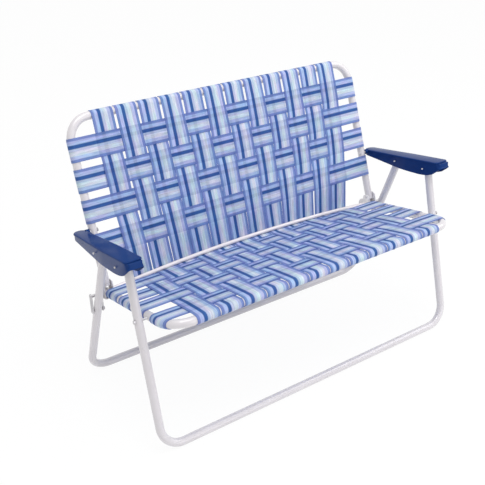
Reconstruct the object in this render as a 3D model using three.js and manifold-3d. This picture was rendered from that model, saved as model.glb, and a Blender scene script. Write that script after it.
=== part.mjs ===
// Folding two-seat lawn chair: bent tube frames, woven webbing and channel arm rests.
// Millimetres, +X to the sitter's left seen from the front right, +Y to the rear, +Z up.
import * as THREE from "three";
import { mergeVertices } from "three/addons/utils/BufferGeometryUtils.js";
import Module from "manifold-3d";

const wasm = await Module();
wasm.setup();

// Tube stock and general fits
const TUBE_RADIUS = 11.1;
const TUBE_SIDES = 12;
const BEND_STEPS = 6;
const FIT_GAP = 0.3;
const PIN_RADIUS = 3;
const PIN_SIDES = 12;
const HEAD_RADIUS = 5.2;
const HEAD_THICKNESS = 1.8;
const HEAD_GAP = 0.35;

// Plan width, from the middle plane to a leg's axis
const LEG_HALF_SPACING = 500;

// Leg frames
const FRONT_LEG_LEAN = 15.21;
const LEG_BEND_RADIUS = 58;
const FRONT_ARM_PIVOT_UP = 485.2;
const FRONT_ARM_PIVOT_SETBACK = 4.8;
const SEAT_PIVOT_UP = 344.4;
const SEAT_PIVOT_FORWARD = 4;
const FRONT_LEG_TOP_OVER = 12;
const REAR_LEG_TOP_OVER = 9;
const LINK_PIVOT_UP = 258;

// Arm rests: pivots along the line from the front pivot to the back pivot
const ARM_PIVOT_SPAN = 240.5;
const ARM_PIVOT_SLOPE = 5.25;
const REAR_LEG_PIVOT_RUN = 113.2;
const REAR_LEG_PIVOT_DROP = 2.7;
const ARM_FRONT_OVERHANG = 62.6;
const ARM_REAR_OVERHANG = 15.7;
const ARM_FRONT_RISE = 31;
const ARM_REAR_RISE = 4.6;
const ARM_BELLY_DROP = 21.7;
const ARM_REAR_DROP = 13.1;
const ARM_NOSE_HEIGHT = 17;
const ARM_INNER_REACH = 18.5;
const ARM_OUTER_REACH = 29;
const ARM_REAR_RADIUS = 18.2;
const ARM_REAR_SHIFT = 4.2;
const ARM_CORNER = 6;
const ARM_WALL = 2.6;
const ARM_TOP_THICKNESS = 3.5;
const ARM_SOLID_TAIL = 28.5;
const ARM_BOSS_RADIUS = 7.5;
const ARM_BOSS_GAP = 0.5;

// Back frame, measured from the hinge along the uprights
const BACK_HEIGHT = 427.4;
const BACK_BEND_RADIUS = 60;
const UPRIGHT_TAIL = 8;
const HINGE_SETBACK = 1.25;
const ARM_PIVOT_SETBACK = 4.7;

// Seat frame, measured along the rails
const RAIL_DROP_FRONT = 1.1;
const RAIL_DROP_REAR = 26.5;
const SEAT_FRONT_REACH = 98.3;
const SEAT_BEND_RADIUS = 60;
const RAIL_TAIL = 35;
const PLUG_LENGTH = 6;
const PLUG_CHAMFER = 2;
const REAR_BAR_RADIUS = 5.5;
const REAR_BAR_END_GAP = 1.4;
const REAR_BAR_BOLT_DEPTH = 12;
const REAR_BAR_STEPS = 16;
const REAR_BAR_BOW_RISE = 22.2;
const REAR_BAR_BOW_FORWARD = 1.4;
const STRAP_SPLIT_ANGLE = 325;
const STRAP_SPLIT_HALF = 8;

// Hinge brackets and rear links
const BRACKET_PLATE = 2.1;
const BRACKET_HALF_LENGTH = 15;
const BRACKET_RISE = 12;
const BRACKET_INNER_RISE = 6.5;
const LINK_BOLT_RUN = 1.4;
const LINK_BOLT_RISE = 1.8;
const LINK_BOLT_BEHIND_LEG = 17.2;
const LINK_HEAD_GAP = 1.1;
const LINK_THICKNESS = 2.4;
const LINK_HALF_WIDTH = 7;
const LINK_PIN_RADIUS = 4;
const LINK_SIDE_GAP = 2.3;

// Webbing
const STRAP_WIDTH = 61;
const STRAP_THICKNESS = 1;
const STRAP_LEAST_GAP = 6;
const STRAP_EDGE_INSET = 64.6;
const STRAP_FOOT_SHIFT = -8;
const STRAP_FOOT_INSET = 18;
const STRAP_FOOT_NARROWING = 0.1;
const STRAP_BAR_GAP = 0.5;
const BACK_DRIFT_POWER = 1.5;
const WEAVE_GAP = 0.5;
const FLAT_MARGIN = 2;
const WRAP_STEPS = 6;
const WRAP_RUN_IN = 30;
const BACK_TOP_INSET = 47.5;
const BACK_BOTTOM_RISE = 70.5;
const BACK_GAP_SHARES = [28.4, 18.6, 18.4];
const SEAT_FRONT_INSET = 23.8;
const SEAT_REAR_INSET = 16;
const SEAT_GAP_SHARES = [32.5, 9.5, 11.65];
const SEAT_SAGS = [0, 0.4, -0.3, -0.8];

const degrees = THREE.MathUtils.degToRad;
const white = new THREE.MeshStandardMaterial({ color: 0xe1dce4, roughness: 0.4, metalness: 0.1 });
const navy = new THREE.MeshStandardMaterial({ color: 0x1f3a78, roughness: 0.45, metalness: 0 });
const webbing = new THREE.MeshStandardMaterial({ color: 0x8fa2d8, roughness: 0.75, metalness: 0 });
const steel = new THREE.MeshStandardMaterial({ color: 0xb9bac0, roughness: 0.35, metalness: 0.8 });
const plug = new THREE.MeshStandardMaterial({ color: 0xd2d0d6, roughness: 0.6, metalness: 0 });

// A side-view frame: an origin in the Y-Z plane and a turn about X.
class SideFrame {
  constructor(origin, turn) {
    this.origin = origin;
    this.turn = turn;
  }

  // Local (run, rise) to the world's (y, z).
  toWorld(run, rise) {
    return new THREE.Vector2(run, rise).rotateAround(new THREE.Vector2(), this.turn).add(this.origin);
  }

  // World (y, z) to local (run, rise).
  toLocal(point) {
    return point.clone().sub(this.origin).rotateAround(new THREE.Vector2(), -this.turn);
  }

  group() {
    const made = new THREE.Group();
    made.position.set(0, this.origin.x, this.origin.y);
    made.rotation.x = this.turn;
    return made;
  }
}

// A frame whose local run axis passes below two points by the drops given.
function frameBelow(near, nearDrop, far, farDrop) {
  const line = far.clone().sub(near);
  const turn = Math.atan2(line.y, line.x) - Math.asin((farDrop - nearDrop) / line.length());
  const origin = new THREE.Vector2(0, -nearDrop).rotateAround(new THREE.Vector2(), turn).add(near);
  return new SideFrame(origin, turn);
}

// Pivots and frames in side view
const floorBarHeight = TUBE_RADIUS * Math.cos(Math.PI / TUBE_SIDES);
const frontFoot = new THREE.Vector2(0, floorBarHeight);
const frontLegs = new SideFrame(frontFoot, -degrees(FRONT_LEG_LEAN));
const armFrontPivot = frontLegs.toWorld(FRONT_ARM_PIVOT_SETBACK, FRONT_ARM_PIVOT_UP);
const seatPivot = frontLegs.toWorld(-SEAT_PIVOT_FORWARD, SEAT_PIVOT_UP);
const arms = new SideFrame(armFrontPivot, -degrees(ARM_PIVOT_SLOPE));
const armBackPivot = arms.toWorld(ARM_PIVOT_SPAN, 0);
const rearLegPivot = arms.toWorld(REAR_LEG_PIVOT_RUN, -REAR_LEG_PIVOT_DROP);
const hingePivot = armBackPivot.clone().sub(armFrontPivot).add(seatPivot);
const seat = frameBelow(seatPivot, RAIL_DROP_FRONT, hingePivot, RAIL_DROP_REAR);
const uprightLine = frameBelow(hingePivot, HINGE_SETBACK, armBackPivot, ARM_PIVOT_SETBACK);
const back = new SideFrame(uprightLine.origin, uprightLine.turn - Math.PI / 2);
const hingeRun = seat.toLocal(hingePivot).x;
const linkBolt = seat.toWorld(hingeRun + LINK_BOLT_RUN, LINK_BOLT_RISE);
const rearLegLean = Math.PI / 2 + frameBelow(rearLegPivot, 0, linkBolt, LINK_BOLT_BEHIND_LEG).turn;
const rearLegLength = (rearLegPivot.y - floorBarHeight) / Math.cos(rearLegLean);
const rearFoot = new THREE.Vector2(rearLegPivot.x + rearLegLength * Math.sin(rearLegLean), floorBarHeight);
const rearLegs = new SideFrame(rearFoot, rearLegLean);
const linkPivot = rearLegs.toWorld(0, LINK_PIVOT_UP);

// Side planes, from the middle plane outwards: the side frames lie inside the legs by the hardware between
const bracketLayer = HEAD_GAP + BRACKET_PLATE + HEAD_GAP + HEAD_THICKNESS;
const sideRoom = bracketLayer + LINK_HEAD_GAP + LINK_THICKNESS + LINK_SIDE_GAP;
const frameHalfSpacing = LEG_HALF_SPACING - sideRoom - 2 * TUBE_RADIUS;
const frameInner = frameHalfSpacing - TUBE_RADIUS;
const frameOuter = frameHalfSpacing + TUBE_RADIUS;
const legInner = LEG_HALF_SPACING - TUBE_RADIUS;
const legOuter = LEG_HALF_SPACING + TUBE_RADIUS;
const innerEarFace = frameInner - HEAD_GAP - BRACKET_PLATE;
const outerEarFace = frameOuter + HEAD_GAP + BRACKET_PLATE;
const innerLinkFace = legInner - LINK_SIDE_GAP - LINK_THICKNESS;
const outerLinkFace = legOuter + LINK_SIDE_GAP + LINK_THICKNESS;

function toSolid(geometry) {
  const bare = geometry.clone();
  bare.deleteAttribute("normal");
  bare.deleteAttribute("uv");
  const merged = mergeVertices(bare, 1e-4);
  const vertProperties = new Float32Array(merged.attributes.position.array);
  const triVerts = new Uint32Array(merged.index.array);
  return new wasm.Manifold(new wasm.Mesh({ numProp: 3, vertProperties, triVerts }));
}

function toGeometry(solid) {
  const mesh = solid.getMesh();
  const geometry = new THREE.BufferGeometry();
  geometry.setAttribute("position", new THREE.BufferAttribute(mesh.vertProperties, 3));
  geometry.setIndex(new THREE.BufferAttribute(mesh.triVerts, 1));
  geometry.computeVertexNormals();
  return geometry;
}

function addMesh(parent, name, geometry, material) {
  const mesh = new THREE.Mesh(geometry, material);
  mesh.name = name;
  parent.add(mesh);
  return mesh;
}

function sideName(base, side) {
  return `${base}_${side < 0 ? "left" : "right"}`;
}

// A path through given points, where each run between two points is one step.
class PointPath extends THREE.Curve {
  constructor(points) {
    super();
    this.points = points;
  }

  getPoint(t, target = new THREE.Vector3()) {
    const steps = this.points.length - 1;
    const place = THREE.MathUtils.clamp(t, 0, 1) * steps;
    const index = Math.min(Math.floor(place), steps - 1);
    return target.lerpVectors(this.points[index], this.points[index + 1], place - index);
  }

  getUtoTmapping(u) {
    return u;
  }
}

// A round section drawn as a polygon with one flat centred on the angle given.
function roundSection(radius, sides, flatAngle) {
  const points = [];
  for (let i = 0; i < sides; i += 1) {
    const angle = flatAngle + ((i + 0.5) * 2 * Math.PI) / sides;
    points.push(new THREE.Vector2(radius * Math.cos(angle), radius * Math.sin(angle)));
  }
  return new THREE.Shape(points);
}

// A U of tube: two straight runs of one length, two round bends and a middle run along X.
function bentTube(halfSpacing, runLength, bendRadius, flatAngle, place) {
  const points = [place(-halfSpacing, runLength)];
  for (const side of [-1, 1]) {
    for (let i = 0; i <= BEND_STEPS; i += 1) {
      const turn = (side < 0 ? i : BEND_STEPS - i) / BEND_STEPS;
      const angle = (turn * Math.PI) / 2;
      const across = side * (halfSpacing - bendRadius + bendRadius * Math.cos(angle));
      points.push(place(across, bendRadius - bendRadius * Math.sin(angle)));
    }
  }
  points.push(place(halfSpacing, runLength));
  const path = new PointPath(points);
  const section = roundSection(TUBE_RADIUS, TUBE_SIDES, flatAngle);
  return new THREE.ExtrudeGeometry(section, { steps: points.length - 1, extrudePath: path });
}

// A cylinder along X between two places, for holes and bosses.
function crossCylinder(radius, fromX, toX, y, z) {
  const length = Math.abs(toX - fromX);
  const geometry = new THREE.CylinderGeometry(radius, radius, length, PIN_SIDES);
  geometry.rotateZ(Math.PI / 2);
  geometry.translate((fromX + toX) / 2, y, z);
  return geometry;
}

// The radius of a drilled hole whose flats clear a pin by the fit gap.
function holeRadius(pinRadius) {
  return (pinRadius + FIT_GAP) / Math.cos(Math.PI / PIN_SIDES);
}

// Drills holes along X through a piece on both sides; each hole has a local point and a pin radius.
function drillBothSides(geometry, halfSpacing, holes) {
  let solid = toSolid(geometry);
  const reach = TUBE_RADIUS * 2;
  for (const side of [-1, 1]) {
    for (const hole of holes) {
      const from = side * (halfSpacing - reach);
      const to = side * (halfSpacing + reach);
      solid = solid.subtract(toSolid(crossCylinder(holeRadius(hole.radius), from, to, hole.at.x, hole.at.y)));
    }
  }
  return toGeometry(solid);
}

// A turned pin along X from a stepped profile of [radius, x] pairs, mirrored for the left side.
function turnedPin(profile, side) {
  const points = profile.map(([radius, x]) => new THREE.Vector2(radius, x));
  const geometry = new THREE.LatheGeometry(points, PIN_SIDES);
  geometry.rotateZ((-side * Math.PI) / 2);
  return geometry;
}

// A pin with a head at each end; collars are [from, to, radius] runs of larger size in between.
function headedPin(side, innerFace, outerFace, radius, collars) {
  const innerHead = innerFace - HEAD_GAP;
  const outerHead = outerFace + HEAD_GAP;
  const profile = [
    [0, innerHead - HEAD_THICKNESS],
    [HEAD_RADIUS - 1, innerHead - HEAD_THICKNESS],
    [HEAD_RADIUS, innerHead - HEAD_THICKNESS / 2],
    [HEAD_RADIUS, innerHead],
    [radius, innerHead],
  ];
  for (const [from, to, collarRadius] of collars) {
    profile.push([radius, from], [collarRadius, from], [collarRadius, to], [radius, to]);
  }
  profile.push(
    [radius, outerHead],
    [HEAD_RADIUS, outerHead],
    [HEAD_RADIUS, outerHead + HEAD_THICKNESS / 2],
    [HEAD_RADIUS - 1, outerHead + HEAD_THICKNESS],
    [0, outerHead + HEAD_THICKNESS],
  );
  return turnedPin(profile, side);
}

function addPin(parent, name, side, at, geometry, material) {
  const mesh = addMesh(parent, sideName(name, side), geometry, material);
  mesh.position.set(0, at.x, at.y);
  return mesh;
}

// A closed side outline extruded along X between two places.
function extrudedAcross(points, fromX, toX) {
  const shape = new THREE.Shape(points);
  const low = Math.min(fromX, toX);
  const options = { depth: Math.abs(toX - fromX), bevelEnabled: false, steps: 1 };
  const geometry = new THREE.ExtrudeGeometry(shape, options);
  const basis = new THREE.Matrix4().makeBasis(
    new THREE.Vector3(0, 1, 0),
    new THREE.Vector3(0, 0, 1),
    new THREE.Vector3(1, 0, 0),
  );
  basis.setPosition(low, 0, 0);
  return geometry.applyMatrix4(basis);
}

// Webbing: weave spacing
const weaveRise = (STRAP_THICKNESS + WEAVE_GAP) / 2;
const wrapRadius = TUBE_RADIUS + FIT_GAP + STRAP_THICKNESS / 2;
const barWrapRadius = REAR_BAR_RADIUS + STRAP_BAR_GAP + STRAP_THICKNESS / 2;
const longSpan = 2 * (frameHalfSpacing - STRAP_EDGE_INSET);
const longCount = Math.floor((longSpan + STRAP_LEAST_GAP) / (STRAP_WIDTH + STRAP_LEAST_GAP));
const longPitch = (longSpan - STRAP_WIDTH) / (longCount - 1);
const longCentres = [];
for (let i = 0; i < longCount; i += 1) {
  longCentres.push((i - (longCount - 1) / 2) * longPitch);
}

// Centres of crossing straps between two outer edges, with the free length shared among the gaps.
function rowCentres(firstEdge, lastEdge, gapShares) {
  const count = gapShares.length + 1;
  const free = lastEdge - firstEdge - count * STRAP_WIDTH;
  const whole = gapShares.reduce((sum, share) => sum + share, 0);
  const centres = [firstEdge + STRAP_WIDTH / 2];
  for (const share of gapShares) {
    centres.push(centres[centres.length - 1] + STRAP_WIDTH + (free * share) / whole);
  }
  return centres;
}

const backRows = rowCentres(BACK_BOTTOM_RISE, BACK_HEIGHT - BACK_TOP_INSET, BACK_GAP_SHARES).reverse();
const seatRows = rowCentres(-SEAT_FRONT_REACH + SEAT_FRONT_INSET, hingeRun - SEAT_REAR_INSET, SEAT_GAP_SHARES);

// Points on an arc about a centre, from one angle to another in degrees.
function arcPoints(centre, radius, from, to, steps) {
  const points = [];
  for (let i = 0; i <= steps; i += 1) {
    const angle = degrees(from + ((to - from) * i) / steps);
    points.push(new THREE.Vector2(centre.x + radius * Math.cos(angle), centre.y + radius * Math.sin(angle)));
  }
  return points;
}

// A strip of webbing with its side line in X-Y and its width along Z.
function stripGeometry(line) {
  const halfWidth = STRAP_WIDTH / 2;
  const halfThickness = STRAP_THICKNESS / 2;
  const section = new THREE.Shape([
    new THREE.Vector2(-halfWidth, -halfThickness),
    new THREE.Vector2(halfWidth, -halfThickness),
    new THREE.Vector2(halfWidth, halfThickness),
    new THREE.Vector2(-halfWidth, halfThickness),
  ]);
  const path = new PointPath(line.map((point) => new THREE.Vector3(point.x, point.y, 0)));
  return new THREE.ExtrudeGeometry(section, { steps: line.length - 1, extrudePath: path });
}

// Shifts and narrows a long strap towards the rear bar, by a share that depends on the place along the run.
function gatherStrip(geometry, foot, shareAt) {
  const places = geometry.attributes.position;
  for (let i = 0; i < places.count; i += 1) {
    const share = shareAt(places.getX(i));
    places.setZ(i, places.getZ(i) * (1 - STRAP_FOOT_NARROWING * share) + foot * share);
  }
  return geometry;
}

// Slides the points of a strip that lie at its end, in step with their distance from the strip's middle.
function tiltEnd(geometry, isEnd, slide) {
  const places = geometry.attributes.position;
  for (let i = 0; i < places.count; i += 1) {
    if (isEnd(places.getX(i))) {
      places.setX(i, places.getX(i) + slide.x * places.getZ(i));
      places.setY(i, places.getY(i) + slide.y * places.getZ(i));
    }
  }
  return geometry;
}

// Puts a strip in place: its side line in the plane of two axes, its width along the third.
function placeStrip(geometry, runAxis, riseAxis, middle) {
  const widthAxis = new THREE.Vector3().crossVectors(runAxis, riseAxis);
  const basis = new THREE.Matrix4().makeBasis(runAxis, riseAxis, widthAxis);
  basis.setPosition(middle);
  return geometry.applyMatrix4(basis);
}

const axisX = new THREE.Vector3(1, 0, 0);
const axisY = new THREE.Vector3(0, 1, 0);
const axisZ = new THREE.Vector3(0, 0, 1);
const axisFront = new THREE.Vector3(0, -1, 0);

// Crossing straps go over the long straps of one parity: row and strap numbers count from 0.
function crossIsOver(row, strap) {
  return (row + strap) % 2 === 0;
}

// The sideways shift of a long strap where it passes the rear bar, larger towards the outer straps.
function footShift(across) {
  return STRAP_FOOT_SHIFT - (STRAP_FOOT_INSET * across) / longCentres[longCount - 1];
}

// How much of its shift and narrowing a long strap has at a height up the back, from 0 to 1.
function backShare(up) {
  return THREE.MathUtils.clamp((BACK_HEIGHT - up) / BACK_HEIGHT, 0, 1) ** BACK_DRIFT_POWER;
}

// How much of its shift and narrowing a long strap has at a run along the seat, from 0 to 1.
function seatShare(run) {
  return THREE.MathUtils.clamp((run + SEAT_FRONT_REACH) / (hingeRun + SEAT_FRONT_REACH), 0, 1);
}

// The side line of a crossing strap, wrapped round the outer side of both side tubes.
function crossLine(row, sag, share) {
  const points = arcPoints(new THREE.Vector2(-frameHalfSpacing, 0), wrapRadius, 270, 90, WRAP_STEPS);
  const half = (STRAP_WIDTH / 2) * (1 - STRAP_FOOT_NARROWING * share) + FLAT_MARGIN;
  const runIn = frameHalfSpacing - WRAP_RUN_IN;
  const runInLevel = wrapRadius - (sag * WRAP_RUN_IN) / STRAP_EDGE_INSET;
  points.push(new THREE.Vector2(-runIn, runInLevel));
  longCentres.forEach((across, strap) => {
    const centre = across + footShift(across) * share;
    const level = wrapRadius - sag + (crossIsOver(row, strap) ? weaveRise : -weaveRise);
    points.push(new THREE.Vector2(centre - half, level), new THREE.Vector2(centre + half, level));
  });
  points.push(new THREE.Vector2(runIn, runInLevel));
  points.push(...arcPoints(new THREE.Vector2(frameHalfSpacing, 0), wrapRadius, 90, -90, WRAP_STEPS));
  return points;
}

// The levels of a long strap where it passes each row, in the order of the rows given.
function weavePoints(rows, order, strap, sags, direction) {
  const points = [];
  const half = (STRAP_WIDTH / 2 + FLAT_MARGIN) * direction;
  for (const row of order) {
    const level = wrapRadius - sags[row] + (crossIsOver(row, strap) ? -weaveRise : weaveRise);
    points.push(new THREE.Vector2(rows[row] - half, level), new THREE.Vector2(rows[row] + half, level));
  }
  return points;
}

// Points that carry a strap from a point onto a bar, along the tangent on one side and round to an angle.
function ontoBar(from, centre, tangentSide, endAngle) {
  const toCentre = centre.clone().sub(from);
  const swing = Math.asin(barWrapRadius / toCentre.length());
  const heading = Math.atan2(toCentre.y, toCentre.x) + tangentSide * swing;
  const start = THREE.MathUtils.radToDeg(heading + (tangentSide * Math.PI) / 2);
  const sweep = THREE.MathUtils.euclideanModulo((start - endAngle) * tangentSide, 360);
  return arcPoints(centre, barWrapRadius, start, start - tangentSide * sweep, 3);
}

const chair = new THREE.Group();

// Front legs: one U with its floor bar, and the rivets that carry the seat
const frontLegGroup = frontLegs.group();
chair.add(frontLegGroup);
const upright = (across, up) => new THREE.Vector3(across, 0, up);
const frontFlat = Math.PI / 2 + degrees(FRONT_LEG_LEAN);
const frontLegLength = FRONT_ARM_PIVOT_UP + FRONT_LEG_TOP_OVER;
const frontLegTube = bentTube(LEG_HALF_SPACING, frontLegLength, LEG_BEND_RADIUS, frontFlat, upright);
const frontLegHoles = [armFrontPivot, seatPivot].map((point) => ({
  at: frontLegs.toLocal(point),
  radius: PIN_RADIUS,
}));
const frontLegGeometry = drillBothSides(frontLegTube, LEG_HALF_SPACING, frontLegHoles);
addMesh(frontLegGroup, "front_leg_frame", frontLegGeometry, white);
for (const side of [-1, 1]) {
  const collar = [frameOuter + HEAD_GAP, legInner - HEAD_GAP, HEAD_RADIUS + 1];
  const rivet = headedPin(side, frameInner, legOuter, PIN_RADIUS, [collar]);
  addPin(chair, "seat_rivet", side, seatPivot, rivet, steel);
}

// Rear legs: one U with its floor bar, and the rivets that carry the links
const rearLegGroup = rearLegs.group();
chair.add(rearLegGroup);
const rearFlat = Math.PI / 2 - rearLegLean;
const rearLegTube = bentTube(
  LEG_HALF_SPACING,
  rearLegLength + REAR_LEG_TOP_OVER,
  LEG_BEND_RADIUS,
  rearFlat,
  upright,
);
const rearLegHoles = [rearLegPivot, linkPivot].map((point) => ({
  at: rearLegs.toLocal(point),
  radius: PIN_RADIUS,
}));
const rearLegGeometry = drillBothSides(rearLegTube, LEG_HALF_SPACING, rearLegHoles);
addMesh(rearLegGroup, "rear_leg_frame", rearLegGeometry, white);
for (const side of [-1, 1]) {
  const innerCollar = [innerLinkFace + LINK_THICKNESS + HEAD_GAP, legInner - HEAD_GAP, HEAD_RADIUS];
  const outerCollar = [legOuter + HEAD_GAP, outerLinkFace - LINK_THICKNESS - HEAD_GAP, HEAD_RADIUS];
  const rivet = headedPin(side, innerLinkFace, outerLinkFace, PIN_RADIUS, [innerCollar, outerCollar]);
  addPin(chair, "link_rivet", side, linkPivot, rivet, steel);
}

// Links: two flat bars each side of the leg, joined by the upper pin behind the leg
const linkLine = linkBolt.clone().sub(linkPivot);
const linkLength = linkLine.length();
const links = new SideFrame(linkPivot, Math.atan2(linkLine.y, linkLine.x));
const linkGroup = links.group();
chair.add(linkGroup);
for (const side of [-1, 1]) {
  const outline = [
    ...arcPoints(new THREE.Vector2(0, 0), LINK_HALF_WIDTH, 90, 270, WRAP_STEPS),
    ...arcPoints(new THREE.Vector2(linkLength, 0), LINK_HALF_WIDTH, -90, 90, WRAP_STEPS),
  ];
  const innerFrom = side * innerLinkFace;
  const innerTo = side * (innerLinkFace + LINK_THICKNESS);
  const outerFrom = side * (outerLinkFace - LINK_THICKNESS);
  const outerTo = side * outerLinkFace;
  const bars = toSolid(extrudedAcross(outline, innerFrom, innerTo))
    .add(toSolid(extrudedAcross(outline, outerFrom, outerTo)))
    .add(toSolid(crossCylinder(LINK_PIN_RADIUS, innerFrom, side * (outerLinkFace + HEAD_THICKNESS), linkLength, 0)))
    .subtract(toSolid(crossCylinder(holeRadius(PIN_RADIUS), innerFrom - side, outerTo + side, 0, 0)));
  addMesh(linkGroup, sideName("link", side), toGeometry(bars), steel);
}

// The flat angle that turns the tube's corners to the same places as those of the straps round it
const cornerUp = Math.PI / TUBE_SIDES;

// Seat: side rails and front bar in one U, open to the rear
const seatGroup = seat.group();
chair.add(seatGroup);
const alongSeat = (across, run) => new THREE.Vector3(across, run - SEAT_FRONT_REACH, 0);
const railLength = SEAT_FRONT_REACH + hingeRun + RAIL_TAIL;
const seatTube = bentTube(frameHalfSpacing, railLength, SEAT_BEND_RADIUS, cornerUp, alongSeat);
const seatHoles = [seatPivot, linkBolt].map((point) => ({ at: seat.toLocal(point), radius: PIN_RADIUS }));
addMesh(seatGroup, "seat_frame", drillBothSides(seatTube, frameHalfSpacing, seatHoles), white);

// Rear bar: bolted to the rails at its ends and bowed upwards by the pull of the webbing
const barHalfLength = innerEarFace - REAR_BAR_END_GAP;
const boltLocal = seat.toLocal(linkBolt);
const barCentre = (across) => {
  const share = 1 - (across / barHalfLength) ** 2;
  return new THREE.Vector2(boltLocal.x - REAR_BAR_BOW_FORWARD * share, boltLocal.y + REAR_BAR_BOW_RISE * share);
};
const barSlope = (across) => (-2 * REAR_BAR_BOW_RISE * across) / barHalfLength ** 2;
const barPoints = [];
for (let i = 0; i <= REAR_BAR_STEPS; i += 1) {
  const across = barHalfLength * ((2 * i) / REAR_BAR_STEPS - 1);
  const centre = barCentre(across);
  barPoints.push(new THREE.Vector3(across, centre.x, centre.y));
}
const barTube = new THREE.ExtrudeGeometry(roundSection(REAR_BAR_RADIUS, PIN_SIDES, 0), {
  steps: REAR_BAR_STEPS,
  extrudePath: new PointPath(barPoints),
});
let barSolid = toSolid(barTube);
for (const side of [-1, 1]) {
  const from = side * (barHalfLength - REAR_BAR_BOLT_DEPTH);
  const to = side * (barHalfLength + REAR_BAR_RADIUS);
  barSolid = barSolid.subtract(toSolid(crossCylinder(holeRadius(PIN_RADIUS), from, to, boltLocal.x, boltLocal.y)));
}
addMesh(seatGroup, "seat_rear_bar", toGeometry(barSolid), white);

for (const side of [-1, 1]) {
  const below = -TUBE_RADIUS - HEAD_GAP;
  const half = BRACKET_HALF_LENGTH;
  const ear = (rise) => [
    new THREE.Vector2(hingeRun - half, below - BRACKET_PLATE),
    new THREE.Vector2(hingeRun + half, below - BRACKET_PLATE),
    new THREE.Vector2(hingeRun + half, RAIL_DROP_REAR - half / 2),
    new THREE.Vector2(hingeRun + half * 0.72, RAIL_DROP_REAR + rise * 0.55),
    new THREE.Vector2(hingeRun + half * 0.3, RAIL_DROP_REAR + rise),
    new THREE.Vector2(hingeRun - half * 0.45, RAIL_DROP_REAR + rise),
    new THREE.Vector2(hingeRun - half * 0.9, RAIL_DROP_REAR + rise * 0.5),
    new THREE.Vector2(hingeRun - half, RAIL_DROP_REAR - half / 2),
  ];
  const base = [
    new THREE.Vector2(hingeRun - half, below - BRACKET_PLATE),
    new THREE.Vector2(hingeRun + half, below - BRACKET_PLATE),
    new THREE.Vector2(hingeRun + half, below),
    new THREE.Vector2(hingeRun - half, below),
  ];
  const from = side * innerEarFace;
  const to = side * outerEarFace;
  const hinge = seat.toLocal(hingePivot);
  const bracket = toSolid(extrudedAcross(ear(BRACKET_INNER_RISE), from, from + side * BRACKET_PLATE))
    .add(toSolid(extrudedAcross(ear(BRACKET_RISE), to - side * BRACKET_PLATE, to)))
    .add(toSolid(extrudedAcross(base, from, to)))
    .subtract(toSolid(crossCylinder(holeRadius(PIN_RADIUS), from - side, to + side, hinge.x, hinge.y)))
    .subtract(toSolid(crossCylinder(holeRadius(PIN_RADIUS), from - side, to + side, boltLocal.x, boltLocal.y)));
  addMesh(seatGroup, sideName("hinge_bracket", side), toGeometry(bracket), steel);

  const boltTip = barHalfLength - REAR_BAR_BOLT_DEPTH + FIT_GAP;
  const boltHead = outerEarFace + HEAD_GAP;
  const boltEnd = innerLinkFace - HEAD_GAP;
  const bolt = turnedPin(
    [
      [0, boltTip],
      [PIN_RADIUS, boltTip],
      [PIN_RADIUS, boltHead],
      [HEAD_RADIUS, boltHead],
      [HEAD_RADIUS, boltEnd],
      [0, boltEnd],
    ],
    side,
  );
  addPin(chair, "rail_bolt", side, linkBolt, bolt, steel);

  const plugFace = railLength - SEAT_FRONT_REACH + FIT_GAP;
  const plugGeometry = new THREE.LatheGeometry(
    [
      new THREE.Vector2(0, 0),
      new THREE.Vector2(TUBE_RADIUS, 0),
      new THREE.Vector2(TUBE_RADIUS, PLUG_LENGTH - PLUG_CHAMFER),
      new THREE.Vector2(TUBE_RADIUS - PLUG_CHAMFER, PLUG_LENGTH),
      new THREE.Vector2(0, PLUG_LENGTH),
    ],
    TUBE_SIDES,
  );
  const plugMesh = addMesh(seatGroup, sideName("rail_plug", side), plugGeometry, plug);
  plugMesh.position.set(side * frameHalfSpacing, plugFace, 0);
}

// Seat webbing: crossing straps from the rear row forwards, then the long straps
const seatOrder = seatRows.map((_, row) => row);
const lastRow = seatRows.length - 1;
seatRows.forEach((run, row) => {
  const middle = new THREE.Vector3(0, run, 0);
  const strip = stripGeometry(crossLine(row + 1, SEAT_SAGS[row], seatShare(run)));
  const geometry = placeStrip(strip, axisX, axisZ, middle);
  addMesh(seatGroup, `seat_cross_strap_${lastRow - row + 1}`, geometry, webbing);
});
longCentres.forEach((across, strap) => {
  const front = new THREE.Vector2(-SEAT_FRONT_REACH, 0);
  const line = arcPoints(front, wrapRadius, 270, 90, WRAP_STEPS);
  line.push(...weavePoints(seatRows, seatOrder, strap + 1, SEAT_SAGS, 1));
  const lastFlat = line[line.length - 1];
  const foot = across + footShift(across);
  line.push(...ontoBar(lastFlat, barCentre(foot), -1, STRAP_SPLIT_ANGLE - STRAP_SPLIT_HALF));
  const slide = new THREE.Vector2(0, barSlope(foot) * (1 - STRAP_FOOT_NARROWING));
  const strip = tiltEnd(stripGeometry(line), (run) => run > lastFlat.x + STRAP_THICKNESS, slide);
  gatherStrip(strip, footShift(across), seatShare);
  const geometry = placeStrip(strip, axisY, axisZ, new THREE.Vector3(across, 0, 0));
  addMesh(seatGroup, `seat_long_strap_${String(strap + 1).padStart(2, "0")}`, geometry, webbing);
});

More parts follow.
